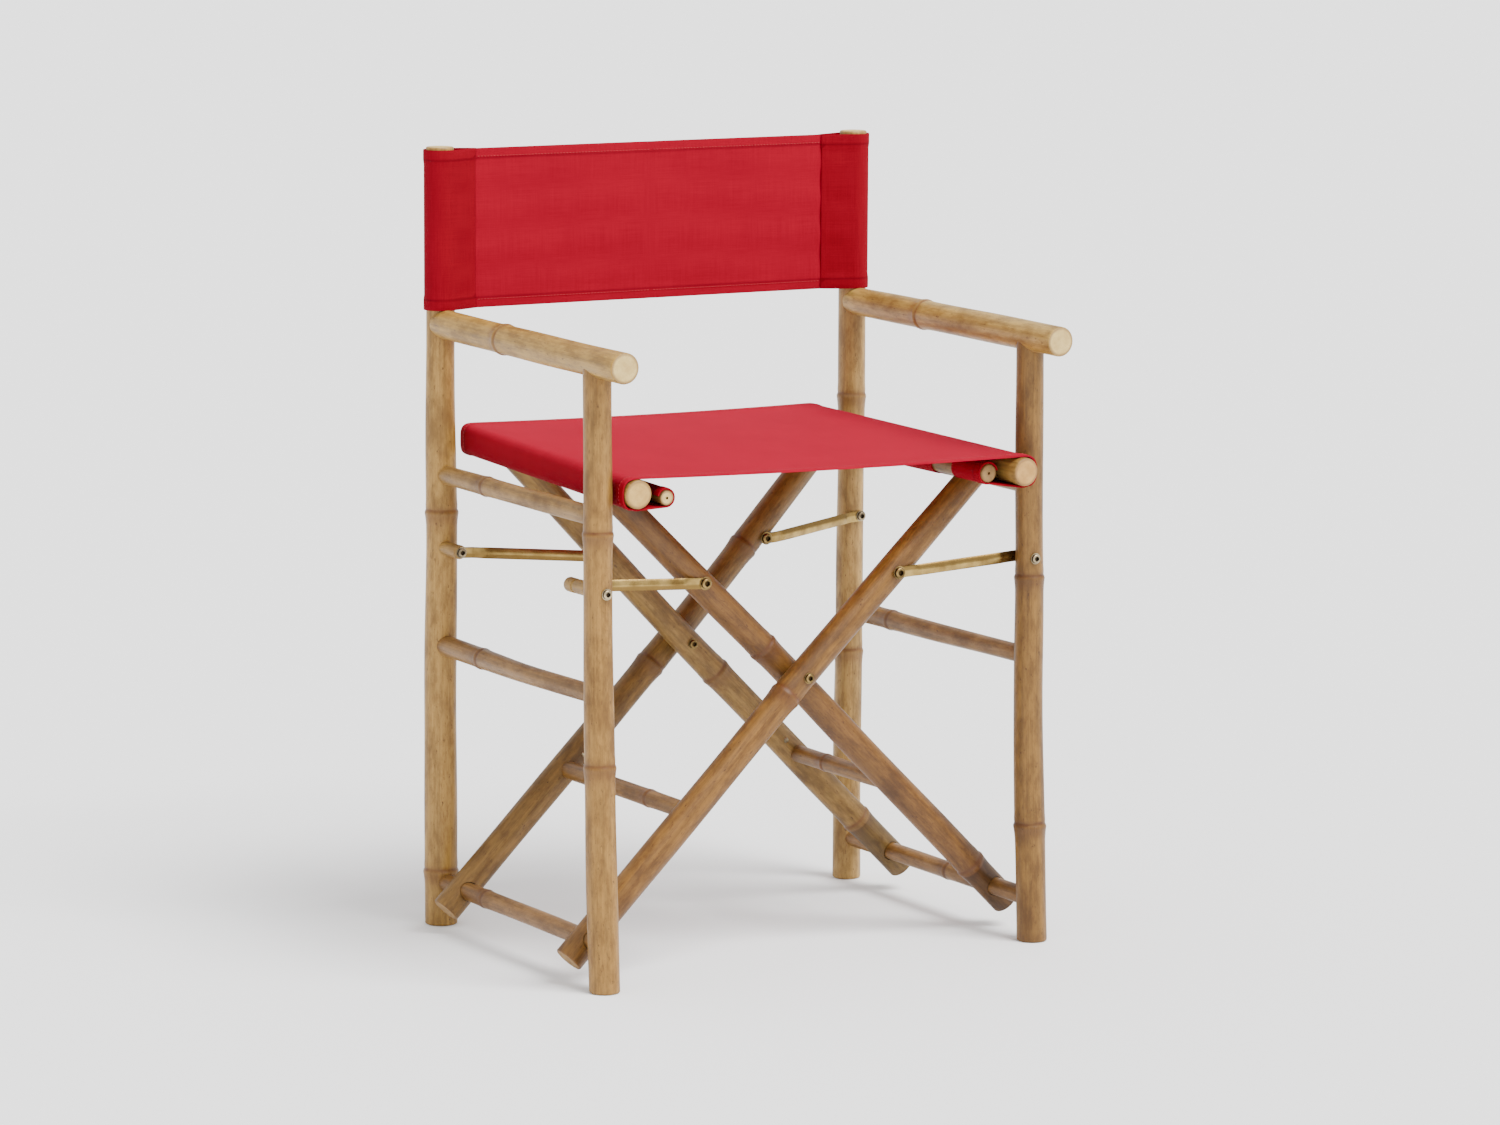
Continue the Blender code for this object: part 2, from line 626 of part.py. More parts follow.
def build():
    clear_scene()
    make_materials()
    axis_empty("left_frame", (0, 0, 0))
    axis_empty("outer_legs", (-FOOT_X, 0, FOOT_Z), "left_frame")
    axis_empty("inner_legs", (0, 0, CENTRE_Z), "outer_legs")
    axis_empty("right_frame", (FOOT_X, 0, FOOT_Z), "inner_legs")
    for side, sign in (("left", -1), ("right", 1)):
        for end in ("front", "rear"):
            axis_empty(f"{side}_{end}_link_pivot", (sign * LINK_POST_X, 0, LINK_POST_Z), f"{side}_frame")
    side_frame("left", -1, "left_frame")
    side_frame("right", 1, "right_frame")
    leg_frame("outer", "right", "outer_legs")
    leg_frame("inner", "left", "inner_legs")
    centre_bolts()
    links()
    seat_sling()
    back_sleeve("left", -1, "left_frame")
    back_sleeve("right", 1, "right_frame")
    back_panel()
    # The chair is laid out from the middle of its posts. This puts the middle of its depth at zero.
    rear_y = POST_Y_REAR + POST_BOW + REAR_FOOT_R["left"]
    axes["left_frame"].location.y = -(ARM_FRONT_Y + rear_y) / 2


build()
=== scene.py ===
import json
import math

import bpy
import numpy as np
from mathutils import Matrix, Vector


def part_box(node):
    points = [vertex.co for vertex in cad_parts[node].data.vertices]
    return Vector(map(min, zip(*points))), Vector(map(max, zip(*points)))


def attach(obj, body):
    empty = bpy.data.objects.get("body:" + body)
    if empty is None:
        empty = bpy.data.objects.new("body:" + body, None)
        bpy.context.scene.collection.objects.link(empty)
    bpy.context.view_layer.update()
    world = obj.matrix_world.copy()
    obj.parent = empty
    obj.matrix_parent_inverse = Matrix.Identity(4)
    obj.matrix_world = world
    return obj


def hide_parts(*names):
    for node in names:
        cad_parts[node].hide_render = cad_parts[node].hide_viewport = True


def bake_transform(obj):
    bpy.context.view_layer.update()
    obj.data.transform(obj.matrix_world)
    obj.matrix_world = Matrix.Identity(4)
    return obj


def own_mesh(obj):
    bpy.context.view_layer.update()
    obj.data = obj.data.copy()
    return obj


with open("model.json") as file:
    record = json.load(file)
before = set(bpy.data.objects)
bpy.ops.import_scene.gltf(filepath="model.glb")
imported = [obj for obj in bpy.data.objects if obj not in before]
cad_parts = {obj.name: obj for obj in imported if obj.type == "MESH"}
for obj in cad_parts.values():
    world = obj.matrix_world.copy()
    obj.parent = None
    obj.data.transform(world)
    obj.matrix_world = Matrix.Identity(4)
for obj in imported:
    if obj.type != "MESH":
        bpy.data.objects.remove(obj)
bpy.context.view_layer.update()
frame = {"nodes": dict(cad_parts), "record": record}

# ---- Studio ----
# A pale floor that runs past the picture, one broad soft light from the front and an even sky.
# The poles' lines are laid out from the middle between the four feet, which the frame gives.
feet = [Vector(mount["pos_m"]) for mount in frame["record"]["mounts"]]
middle_y = sum(foot.y for foot in feet) / len(feet)


def at(x, y, z):
    return Vector((x, y + middle_y, z))


def deselect():
    bpy.ops.object.select_all(action="DESELECT")


def turned_camera(yaw, pitch, roll):
    """The camera's axes from its turn about the upright, its downward tilt and its lean."""
    back = Vector((math.sin(yaw) * math.cos(pitch), -math.cos(yaw) * math.cos(pitch), math.sin(pitch)))
    right = Vector((math.cos(yaw), math.sin(yaw), 0))
    up = back.cross(right)
    level_right = math.cos(roll) * right + math.sin(roll) * up
    level_up = -math.sin(roll) * right + math.cos(roll) * up
    return Matrix((level_right, level_up, back)).transposed().to_4x4()


def shader_of(finish):
    return finish.node_tree.nodes["Principled BSDF"]


def new_finish(name, roughness, metallic=0.0):
    finish = bpy.data.materials.new(name)
    finish.use_nodes = True
    shader_of(finish).inputs["Roughness"].default_value = roughness
    shader_of(finish).inputs["Metallic"].default_value = metallic
    return finish


camera_data = bpy.data.cameras.new("camera")
camera_data.lens = 137.98
camera_data.sensor_width = 36.0
camera = bpy.data.objects.new("camera", camera_data)
bpy.context.scene.collection.objects.link(camera)
camera.matrix_world = (Matrix.Translation(at(-3.158, -5.497, 1.388))
                       @ turned_camera(math.radians(-30.03), math.radians(8.677), math.radians(0.303)))
bpy.context.scene.camera = camera

deselect()
bpy.ops.mesh.primitive_plane_add(size=120, location=(0, 0, -0.0004))
floor = bpy.context.object
floor.name = "studio_floor"
floor_finish = new_finish("floor_paper", 0.95)
shader_of(floor_finish).inputs["Base Color"].default_value = (0.94, 0.94, 0.94, 1)
shader_of(floor_finish).inputs["Specular IOR Level"].default_value = 0.1
floor.data.materials.append(floor_finish)

key_data = bpy.data.lights.new("key", "SUN")
key_data.energy = 5.2
key_data.angle = math.radians(32)
key = bpy.data.objects.new("key", key_data)
key.rotation_euler = Vector((0.24, -0.50, 0.83)).to_track_quat("Z", "Y").to_euler()
bpy.context.scene.collection.objects.link(key)

sky = bpy.data.worlds.new("sky")
sky.use_nodes = True
sky.node_tree.nodes["Background"].inputs["Color"].default_value = (1, 1, 1, 1)
sky.node_tree.nodes["Background"].inputs["Strength"].default_value = 1.25
bpy.context.scene.world = sky

# ---- Side frames ----
# Two upright culms, an armrest, two rails and a foot rod on each side, of thin-walled bamboo, sanded
# and varnished. Each culm has brown rings at its nodes and a pale sawn end.
CULM_SIDES = 32
STATION_STEP = 0.028
SAWN_EDGE = 0.0020
SAWN_STEPS = (0.12, 0.35, 0.65, 1.0)
RIND_SHARE = 0.14
BROWN_FOOT = 0.52
WANDER = 0.0005
RING_STATIONS = (-0.024, -0.014, -0.008, -0.0045, -0.0025, -0.0012, 0.0, 0.0012, 0.0026, 0.0042,
                 0.0060, 0.0090, 0.0150, 0.0240)
POST_R = 0.0162


def attribute(finish, name, output="Vector"):
    read = finish.node_tree.nodes.new("ShaderNodeAttribute")
    read.attribute_name = name
    return read.outputs[output]


def noise(finish, vector, scale, detail=4.0, roughness=0.55):
    """Noise on a vector, with its own number of cells per metre along each axis."""
    tree = finish.node_tree
    stretch = tree.nodes.new("ShaderNodeMapping")
    stretch.inputs["Scale"].default_value = scale
    tree.links.new(vector, stretch.inputs["Vector"])
    texture = tree.nodes.new("ShaderNodeTexNoise")
    texture.inputs["Scale"].default_value = 1.0
    texture.inputs["Detail"].default_value = detail
    texture.inputs["Roughness"].default_value = roughness
    tree.links.new(stretch.outputs["Vector"], texture.inputs["Vector"])
    return texture.outputs["Fac"]


def plug(finish, value, socket):
    """A socket takes another node's output, a colour or a number."""
    if isinstance(value, bpy.types.NodeSocket):
        finish.node_tree.links.new(value, socket)
    else:
        socket.default_value = (*value, 1) if hasattr(value, "__len__") else value


def ramp(finish, factor, *stops):
    tree = finish.node_tree
    made = tree.nodes.new("ShaderNodeValToRGB")
    elements = made.color_ramp.elements
    while len(elements) < len(stops):
        elements.new(0.5)
    for element, (place, colour) in zip(elements, stops):
        element.position = place
        element.color = (*colour, 1) if hasattr(colour, "__len__") else (colour, colour, colour, 1)
    tree.links.new(factor, made.inputs["Fac"])
    return made.outputs["Color"]


def mix(finish, factor, first, second, blend="MIX"):
    made = finish.node_tree.nodes.new("ShaderNodeMix")
    made.data_type = "RGBA"
    made.blend_type = blend
    for value, socket in ((factor, 0), (first, 6), (second, 7)):
        plug(finish, value, made.inputs[socket])
    return made.outputs[2]


def calculate(finish, operation, first, second):
    made = finish.node_tree.nodes.new("ShaderNodeMath")
    made.operation = operation
    plug(finish, first, made.inputs[0])
    plug(finish, second, made.inputs[1])
    return made.outputs[0]


def bump(finish, height, strength, distance, under=None):
    tree = finish.node_tree
    made = tree.nodes.new("ShaderNodeBump")
    made.inputs["Strength"].default_value = strength
    made.inputs["Distance"].default_value = distance
    tree.links.new(height, made.inputs["Height"])
    if under is not None:
        tree.links.new(under, made.inputs["Normal"])
    return made.outputs["Normal"]


def wire(finish, output, socket):
    finish.node_tree.links.new(output, shader_of(finish).inputs[socket])


FLECK_BROWN = (0.085, 0.036, 0.010)
SPECK_BROWN = (0.050, 0.020, 0.006)
RING_BROWN = (0.105, 0.036, 0.008)
PORE_BROWN = (0.24, 0.13, 0.045)
RIND_BROWN = (0.20, 0.10, 0.032)


def bamboo_finish(name, light, middle, dark):
    """Varnished culm: mottled, with long fibres, dark flecks, old stains and a brown ring at each node."""
    finish = new_finish(name, 0.42)
    culm = attribute(finish, "culm")
    mottle = noise(finish, culm, (90, 90, 30), 8, 0.70)
    streaks = noise(finish, culm, (260, 260, 5), 5, 0.6)
    fibres = noise(finish, culm, (1300, 1300, 26), 3)
    stains = noise(finish, culm, (26, 26, 11), 5, 0.65)
    flecks = noise(finish, culm, (420, 420, 60), 4, 0.7)
    specks = noise(finish, culm, (300, 300, 130), 3, 0.7)
    colour = ramp(finish, mottle, (0.38, middle), (0.57, light))
    long_shade = ramp(finish, streaks, (0.34, 0.68), (0.60, 1.06))
    colour = mix(finish, 0.75, colour, long_shade, "MULTIPLY")
    grain = ramp(finish, fibres, (0.32, 0.82), (0.62, 1.06))
    colour = mix(finish, 0.75, colour, grain, "MULTIPLY")
    stained = ramp(finish, stains, (0.50, 0.0), (0.66, 0.70))
    colour = mix(finish, stained, colour, dark)
    colour = mix(finish, ramp(finish, flecks, (0.60, 0.0), (0.70, 0.55)), colour, FLECK_BROWN)
    colour = mix(finish, ramp(finish, specks, (0.63, 0.0), (0.71, 0.80)), colour, SPECK_BROWN)
    knot = attribute(finish, "knot", "Fac")
    ragged = calculate(finish, "MULTIPLY", knot, ramp(finish, mottle, (0.30, 0.45), (0.62, 1.0)))
    colour = mix(finish, ragged, colour, RING_BROWN)
    colour = mix(finish, 1.0, colour, attribute(finish, "tone"), "MULTIPLY")
    wire(finish, colour, "Base Color")
    wire(finish, ramp(finish, stains, (0.3, 0.36), (0.7, 0.54)), "Roughness")
    normal = bump(finish, fibres, 0.25, 0.0004)
    wire(finish, bump(finish, mottle, 0.30, 0.0016, normal), "Normal")
    shader_of(finish).inputs["Specular IOR Level"].default_value = 0.35
    return finish


def end_grain_finish(name, deep, pale):
    """Sawn bamboo: dry, with the pores of the fibre bundles and a darker rind."""
    finish = new_finish(name, 0.7)
    culm = attribute(finish, "culm")
    pores = noise(finish, culm, (900, 900, 40), 3, 0.6)
    rings = noise(finish, culm, (120, 120, 40), 2)
    colour = ramp(finish, rings, (0.35, deep), (0.65, pale))
    colour = mix(finish, ramp(finish, pores, (0.60, 0.0), (0.70, 0.6)), colour, PORE_BROWN)
    rind = attribute(finish, "rind", "Fac")
    colour = mix(finish, calculate(finish, "MULTIPLY", rind, 0.70), colour, RIND_BROWN)
    wire(finish, colour, "Base Color")
    wire(finish, bump(finish, pores, 0.5, 0.0004), "Normal")
    return finish


pale_bamboo = bamboo_finish("bamboo_pale", (0.335, 0.188, 0.043), (0.205, 0.106, 0.021),
                            (0.110, 0.050, 0.009))
leg_bamboo = bamboo_finish("bamboo_leg", (0.225, 0.116, 0.025), (0.130, 0.061, 0.012),
                           (0.062, 0.026, 0.005))
sawn_end = end_grain_finish("sawn_end", (0.52, 0.35, 0.115), (0.64, 0.46, 0.17))
brown_end = end_grain_finish("brown_end", (0.20, 0.105, 0.030), (0.34, 0.20, 0.065))


def line_point(points, distance):
    """A point on a line of straight runs, which carries on straight past both ends."""
    for index in range(len(points) - 1):
        run = points[index + 1] - points[index]
        if distance <= run.length or index == len(points) - 2:
            return points[index] + run * (distance / run.length)
        distance -= run.length


# Height, place above the ring and spread: a node's swelling, its ridge and the groove above it, and the
# brown of its scar and of the stain below it.
NODE_BELLS = ((0.0011, 0.0, 0.0090), (0.0004, 0.0, 0.0020), (-0.0007, 0.0045, 0.0018))
BROWN_BELLS = ((0.95, 0.0040, 0.0018), (0.60, -0.004, 0.009))


def bells(distance, rings, shapes):
    return sum(height * math.exp(-((distance - ring - place) / spread) ** 2)
               for ring in rings for height, place, spread in shapes)


def culm_stations(points, radii, rings, seed):
    """Centre, radius and distance of each ring of vertices along a culm."""
    lengths = [0.0]
    for low, high in zip(points, points[1:]):
        lengths.append(lengths[-1] + (high - low).length)
    total = lengths[-1]
    count = max(2, round(total / STATION_STEP))
    distances = [total * step / count for step in range(count + 1)]
    for ring in rings:
        distances = [d for d in distances if abs(d - ring) > 0.03 or d in (0.0, total)]
        distances += [ring + offset for offset in RING_STATIONS]
    for share in SAWN_STEPS:
        distances += [SAWN_EDGE * share, total - SAWN_EDGE * share]
    distances = sorted({round(d, 6) for d in distances if 0 <= d <= total} | {round(total, 6)})
    stations = []
    reach = min(0.03, total / 4)
    for d in distances:
        before, here, after = (line_point(points, d + shift) for shift in (-reach, 0, reach))
        centre = (before + 2 * here + after) / 4
        fade = math.sin(math.pi * min(1.0, max(0.0, d / total)))
        centre += WANDER * fade * Vector((math.sin(19 * d + seed), math.cos(23 * d + 2 * seed), 0))
        radius = float(np.interp(d, lengths, radii))
        radius *= 1 + 0.012 * math.sin(31 * d + 1.7 * seed)
        radius += bells(d, rings, NODE_BELLS) * radius / POST_R
        from_end = min(1.0, d / SAWN_EDGE, (total - d) / SAWN_EDGE)
        radius -= SAWN_EDGE * (1 - math.sqrt(max(0.0, 1 - (1 - from_end) ** 2)))
        stations.append((centre, radius, d))
    return stations


def name_piece(obj, name, body):
    """A piece takes the name and the place of the node that it stands for."""
    obj.name = name
    obj.data.name = name
    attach(obj, body)
    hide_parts(name)
    return obj


def paint_culm(obj, stations, rings, tone, seed, shade_below):
    """Each vertex learns where it is on the culm, how near a node it is, and the culm's own tint there."""
    start, finish_point = stations[0][0], stations[-1][0]
    along = (finish_point - start).normalized()
    side = along.orthogonal().normalized()
    up = along.cross(side)
    mesh = obj.data
    layers = {"culm": "FLOAT_VECTOR", "tone": "FLOAT_VECTOR", "knot": "FLOAT", "rind": "FLOAT"}
    for layer, kind in layers.items():
        mesh.attributes.new(layer, kind, "POINT")
    culm, tint, knot, rind = (mesh.attributes[layer] for layer in layers)
    for index, vertex in enumerate(mesh.vertices):
        centre, radius, distance = min(stations, key=lambda station: (station[0] - vertex.co).length_squared)
        out = vertex.co - centre
        culm.data[index].vector = (out.dot(side) + seed, out.dot(up) - seed, distance + 3 * seed)
        rind.data[index].value = 1.0 if out.length > radius * 0.9 or out.length < radius * 0.2 else 0.0
        knot.data[index].value = min(1.0, bells(distance, rings, BROWN_BELLS))
        depth = BROWN_FOOT if distance < shade_below else 1.0
        tint.data[index].vector = [depth * channel for channel in tone]


def culm(name, path, radii, rings, body, finish, tone=(1, 1, 1), shade_below=0.0, level=False, pith=0.0,
         drill=None, end_finish=sawn_end):
    """A culm drawn out ring by ring from a disc at its first end, with sawn ends and any hollow pith.

    A drill is a body that's cut out of the culm and then thrown away.
    """
    if isinstance(radii, float):
        radii = [radii] * len(path)
    points = [Vector(point) for point in path]
    seed = (sum(ord(letter) for letter in name) % 97) / 7.0
    stations = culm_stations(points, radii, rings, seed)
    centre, radius, _ = stations[0]
    facing = Vector((0, 0, 1)) if level else (points[1] - points[0]).normalized()
    deselect()
    bpy.ops.mesh.primitive_circle_add(vertices=CULM_SIDES, radius=radius, fill_type="NGON", location=centre,
                                      rotation=facing.to_track_quat("Z", "Y").to_euler())
    obj = bpy.context.object
    bpy.ops.object.transform_apply()
    bpy.ops.object.mode_set(mode="EDIT")
    bpy.ops.mesh.select_mode(type="FACE")
    bpy.ops.mesh.select_all(action="SELECT")
    for next_centre, next_radius, _ in stations[1:]:
        bpy.ops.mesh.extrude_region_move(TRANSFORM_OT_translate={"value": next_centre - centre})
        grow = next_radius / radius
        bpy.ops.transform.resize(value=(grow, grow, grow), center_override=next_centre)
        centre, radius = next_centre, next_radius
    # The sawn end gets a smaller ring inside it, so that the dark rind stays at its edge.
    bpy.ops.mesh.inset(thickness=radius * RIND_SHARE)
    bpy.ops.mesh.select_all(action="SELECT")
    bpy.ops.mesh.normals_make_consistent(inside=False)
    bpy.ops.mesh.select_all(action="DESELECT")
    bpy.ops.object.mode_set(mode="OBJECT")
    first_end = max(obj.data.polygons,
                    key=lambda face: (len(face.vertices), -(face.center - points[0]).length))
    first_end.select = True
    bpy.ops.object.mode_set(mode="EDIT")
    bpy.ops.mesh.inset(thickness=radius * RIND_SHARE)
    if pith:
        bpy.ops.mesh.inset(thickness=radius * (1 - RIND_SHARE) - pith)
        bpy.ops.mesh.extrude_region_move(TRANSFORM_OT_translate={"value": 2 * pith * facing})
    bpy.ops.object.mode_set(mode="OBJECT")
    obj.data.materials.append(finish)
    obj.data.materials.append(end_finish)
    for end in (points[0], points[-1]):
        for face in obj.data.polygons:
            flat = abs(face.normal.dot(facing)) > 0.9
            if flat and (face.center - end).length < max(radii) * 1.2:
                face.material_index = 1
    if drill is not None:
        cut = obj.modifiers.new("drilled", "BOOLEAN")
        cut.object = drill
        bpy.ops.object.modifier_apply(modifier=cut.name)
        bpy.data.objects.remove(drill)
    bpy.ops.object.shade_smooth_by_angle(angle=math.radians(38))
    paint_culm(obj, stations, rings, tone, seed, shade_below)
    return name_piece(obj, name, body)


HEIGHT = 0.880
FRONT_X = 0.2723
REAR_X = 0.2675
ARM_Z = 0.679
RAIL_REAR_Y = 0.192
BACK_Y = 0.196
RAIL_R = 0.0106
FOOT_ROD = {"x": 0.268, "z": 0.049, "r": 0.0101}
post_rings = {"left_rear": (0.060, 0.470), "left_front": (0.243, 0.494),
              "right_rear": (0.270, 0.571), "right_front": (0.129, 0.409)}
rear_foot_r = {"left": 0.0186, "right": 0.0164}
post_tone = {"left_rear": (1.18, 1.18, 1.16), "left_front": (0.94, 0.87, 0.80),
             "right_rear": (1.16, 1.22, 1.45), "right_front": (0.65, 0.57, 0.48)}
rail_tone = {"left_armrest": (1.18, 1.20, 1.05), "right_armrest": (1.34, 1.48, 1.55),
             "upper_rail": (0.84, 0.80, 0.80), "lower_rail": (0.74, 0.66, 0.70),
             "foot_rod": (0.68, 0.58, 0.60)}
rail_rings = {"left_armrest": (0.158,), "right_armrest": (0.153,),
              "left_upper_rail": (0.116,), "right_upper_rail": (0.240,),
              "left_lower_rail": (0.103,), "right_lower_rail": (0.090,),
              "left_foot_rod": (0.108,), "right_foot_rod": (0.223,)}

for side, sign in (("left", -1), ("right", 1)):
    body = f"{side}_frame"
    rear_x = sign * REAR_X
    front_x = sign * FRONT_X
    foot = rear_foot_r[side]
    culm(f"{side}_rear_post", (at(rear_x, 0.198, 0), at(rear_x, 0.199, 0.16), at(rear_x, 0.195, 0.48),
                               at(rear_x, BACK_Y, 0.66), at(rear_x, BACK_Y, HEIGHT)),
         (foot, foot, foot - 0.0010, POST_R - 0.0002, POST_R - 0.0004), post_rings[f"{side}_rear"], body,
         pale_bamboo, tone=post_tone[f"{side}_rear"], level=True)
    culm(f"{side}_front_post", (at(front_x, -0.198, 0), at(front_x, -0.189, 0.15), at(front_x, -0.1835, 0.32),
                                at(front_x, -0.182, 0.44), at(front_x, -0.179, ARM_Z - 0.004)),
         (POST_R + 0.0008, POST_R + 0.0008, POST_R, POST_R - 0.0006, POST_R - 0.0008),
         post_rings[f"{side}_front"], body, pale_bamboo, tone=post_tone[f"{side}_front"], level=True)
    culm(f"{side}_armrest", (at(rear_x, RAIL_REAR_Y, ARM_Z + 0.004), at(front_x, -0.060, ARM_Z + 0.001),
                             at(front_x, -0.241, ARM_Z - 0.001)),
         (0.0161, 0.0165, 0.0167), rail_rings[f"{side}_armrest"], body, pale_bamboo,
         tone=rail_tone[f"{side}_armrest"])
    culm(f"{side}_upper_rail", (at(rear_x, RAIL_REAR_Y, 0.5140), at(front_x, 0.04, 0.5142),
                                at(front_x, -0.178, 0.5130)), RAIL_R, rail_rings[f"{side}_upper_rail"],
         body, pale_bamboo, tone=rail_tone["upper_rail"])
    culm(f"{side}_lower_rail", (at(rear_x, RAIL_REAR_Y, 0.3207), at(front_x, 0.0, 0.3190),
                                at(front_x, -0.180, 0.3207)),
         (RAIL_R + 0.0014, RAIL_R, RAIL_R - 0.0006), rail_rings[f"{side}_lower_rail"], body, pale_bamboo,
         tone=rail_tone["lower_rail"])
    culm(f"{side}_foot_rod", (at(sign * FOOT_ROD["x"], RAIL_REAR_Y, FOOT_ROD["z"]),
                              at(sign * FOOT_ROD["x"], -0.188, FOOT_ROD["z"])),
         FOOT_ROD["r"], rail_rings[f"{side}_foot_rod"], body, pale_bamboo, tone=rail_tone["foot_rod"])

# ---- Leg frames ----
# Each is two darker culms with a stretcher between them, bored for the foot rod, and screwed up into
# a seat pole. The bores are a little wide, so a dark ring shows round each rod.
CENTRE_Z = 0.3145
LEG_R = 0.0162
LEG_END = 0.031
BORE_CLEAR = 0.0009
PITH_R = 0.0016
STRETCHER_X = 0.140
SEAT_POLE_R = 0.0158
leg_depth = {"front_outer": -0.148, "front_inner": -0.115, "rear_inner": 0.110, "rear_outer": 0.143}
leg_rings = {"front_outer": (0.379,), "front_inner": (0.068, 0.451),
             "rear_inner": (0.088, 0.355), "rear_outer": (0.368, 0.543)}
leg_tone = {"front_outer": (0.93, 0.82, 0.70), "front_inner": (0.77, 0.64, 0.54),
            "rear_inner": (1.14, 1.24, 1.34), "rear_outer": (0.90, 0.90, 0.86)}
leg_shaded_end = {"front_outer": 0.0, "front_inner": 0.064, "rear_inner": 0.084, "rear_outer": 0.0}
seat_pole_line = {"left": (at(-0.2375, -0.2085, 0.5380), at(-0.2240, 0.2000, 0.5510)),
                  "right": (at(0.2375, -0.2290, 0.5345), at(0.2100, 0.2060, 0.5470))}
dowel_line = {"left": (at(-0.2025, -0.2070, 0.5322), at(-0.1900, 0.2000, 0.5425)),
              "right": (at(0.2020, -0.2080, 0.5330), at(0.1760, 0.2060, 0.5395))}
dowel_r = {"left": 0.0084, "right": 0.0103}


def on_line(line, y):
    start, end = line
    return start.lerp(end, (y - start.y) / (end.y - start.y))


pole_end = {"left": end_grain_finish("pole_end_left", (0.49, 0.285, 0.072), (0.60, 0.375, 0.105)),
            "right": end_grain_finish("pole_end_right", (0.42, 0.215, 0.050), (0.52, 0.285, 0.075))}


def object_place(finish):
    return finish.node_tree.nodes.new("ShaderNodeTexCoord").outputs["Object"]


# Painted shade: the bore walls are painted near black, for the shadow in the gap round each rod.
bore_shade_finish = new_finish("bore_shade_finish", 0.8)
bore_shade_noise = noise(bore_shade_finish, object_place(bore_shade_finish), (400, 400, 400), 3)
bore_shade_colour = ramp(bore_shade_finish, bore_shade_noise, (0.3, (0.020, 0.010, 0.004)), (0.7, (0.070, 0.032, 0.011)))
wire(bore_shade_finish, bore_shade_colour, "Base Color")


def cylinder_along_y(place, radius, length, sides=32):
    deselect()
    bpy.ops.mesh.primitive_cylinder_add(vertices=sides, radius=radius, depth=length, location=place,
                                        rotation=(math.pi / 2, 0, 0))
    return bpy.context.object


def paint_bore_shade(obj, place, radius):
    """Paints the wall of a drilled hole dark, a painted shade for the gap round the rod."""
    obj.data.materials.append(bore_shade_finish)
    for face in obj.data.polygons:
        out = math.hypot(face.center.x - place.x, face.center.z - place.z)
        if out < radius * 1.05 and abs(face.normal.y) < 0.3:
            face.material_index = len(obj.data.materials) - 1


bore_r = FOOT_ROD["r"] + BORE_CLEAR
for which, seat_side in (("outer", "right"), ("inner", "left")):
    sign = 1 if seat_side == "right" else -1
    body = f"{which}_legs"
    for end in ("front", "rear"):
        key_name = f"{end}_{which}"
        depth = leg_depth[key_name]
        foot = at(-sign * FOOT_ROD["x"], depth, FOOT_ROD["z"])
        centre = at(0, depth, CENTRE_Z)
        top = on_line(seat_pole_line[seat_side], centre.y)
        low_end = foot + (foot - centre).normalized() * LEG_END
        leg = culm(f"{which}_{end}_leg",
                   (low_end, foot.lerp(centre, 0.5), centre, centre.lerp(top, 0.5), centre.lerp(top, 0.985)),
                   (LEG_R + 0.0002, LEG_R + 0.0002, LEG_R - 0.0002, LEG_R - 0.0002, LEG_R - 0.0010),
                   leg_rings[key_name], body, leg_bamboo, tone=leg_tone[key_name],
                   shade_below=leg_shaded_end[key_name], drill=cylinder_along_y(foot, bore_r, 4 * LEG_R),
                   end_finish=brown_end)
        paint_bore_shade(leg, foot, bore_r)
    share = STRETCHER_X / FOOT_ROD["x"]
    stretcher_z = CENTRE_Z + (FOOT_ROD["z"] - CENTRE_Z) * share
    culm(f"{which}_stretcher", (at(-sign * STRETCHER_X, leg_depth[f"rear_{which}"], stretcher_z),
                                at(-sign * STRETCHER_X, leg_depth[f"front_{which}"], stretcher_z)),
         (0.0100, 0.0094), (0.202,) if which == "outer" else (0.080,), body, leg_bamboo,
         tone=(0.95, 0.88, 0.88))
    culm(f"{seat_side}_seat_pole", seat_pole_line[seat_side], SEAT_POLE_R, (), body, pale_bamboo,
         end_finish=pole_end[seat_side])
    culm(f"{seat_side}_canvas_dowel", dowel_line[seat_side], dowel_r[seat_side], (), body, leg_bamboo,
         pith=PITH_R, end_finish=brown_end if seat_side == "right" else sawn_end)

# ---- Brass links ----
# Four strips pressed from brass sheet, with a raised rib between flat round-ended tabs. A bolt at one
# end holds each to its post, and one at the other end holds it to a leg.
LINK_POST = (0.2705, 0.432)
LINK_LEG = (0.113, 0.4235)
LINK_WIDTH = 0.0122
LINK_THICK = 0.0016
LINK_TAB = 0.027
RIB_RISE = 0.0022
RIB_RUN_OUT = 0.006
LINK_COLUMNS = 60
LINK_ROWS = 6


def metal_finish(name, colour, dark_patch_and_shade, roughness):
    """Pressed or turned metal with soft cloudy patches, fine polishing marks and painted shade on marked
    vertices.
    """
    finish = new_finish(name, roughness, 1.0)
    cloudy = noise(finish, object_place(finish), (45, 45, 45), 3, 0.5)
    marks = noise(finish, object_place(finish), (300, 2500, 2500), 2, 0.5)
    shade = ramp(finish, cloudy, (0.30, dark_patch_and_shade), (0.70, colour))
    # Painted shade: marked vertices take the dark colour.
    painted_light = mix(finish, attribute(finish, "dark_patch_and_shade", "Fac"), shade, dark_patch_and_shade)
    wire(finish, painted_light, "Base Color")
    wire(finish, ramp(finish, marks, (0.3, roughness + 0.08), (0.7, roughness - 0.04)), "Roughness")
    return finish


brass = metal_finish("brass", (0.53, 0.365, 0.120), (0.19, 0.115, 0.034), 0.30)
bolt_brass = metal_finish("bolt_brass", (0.40, 0.27, 0.10), (0.040, 0.023, 0.009), 0.34)
screw_metal = metal_finish("screw_metal", (0.52, 0.42, 0.26), (0.035, 0.024, 0.014), 0.36)


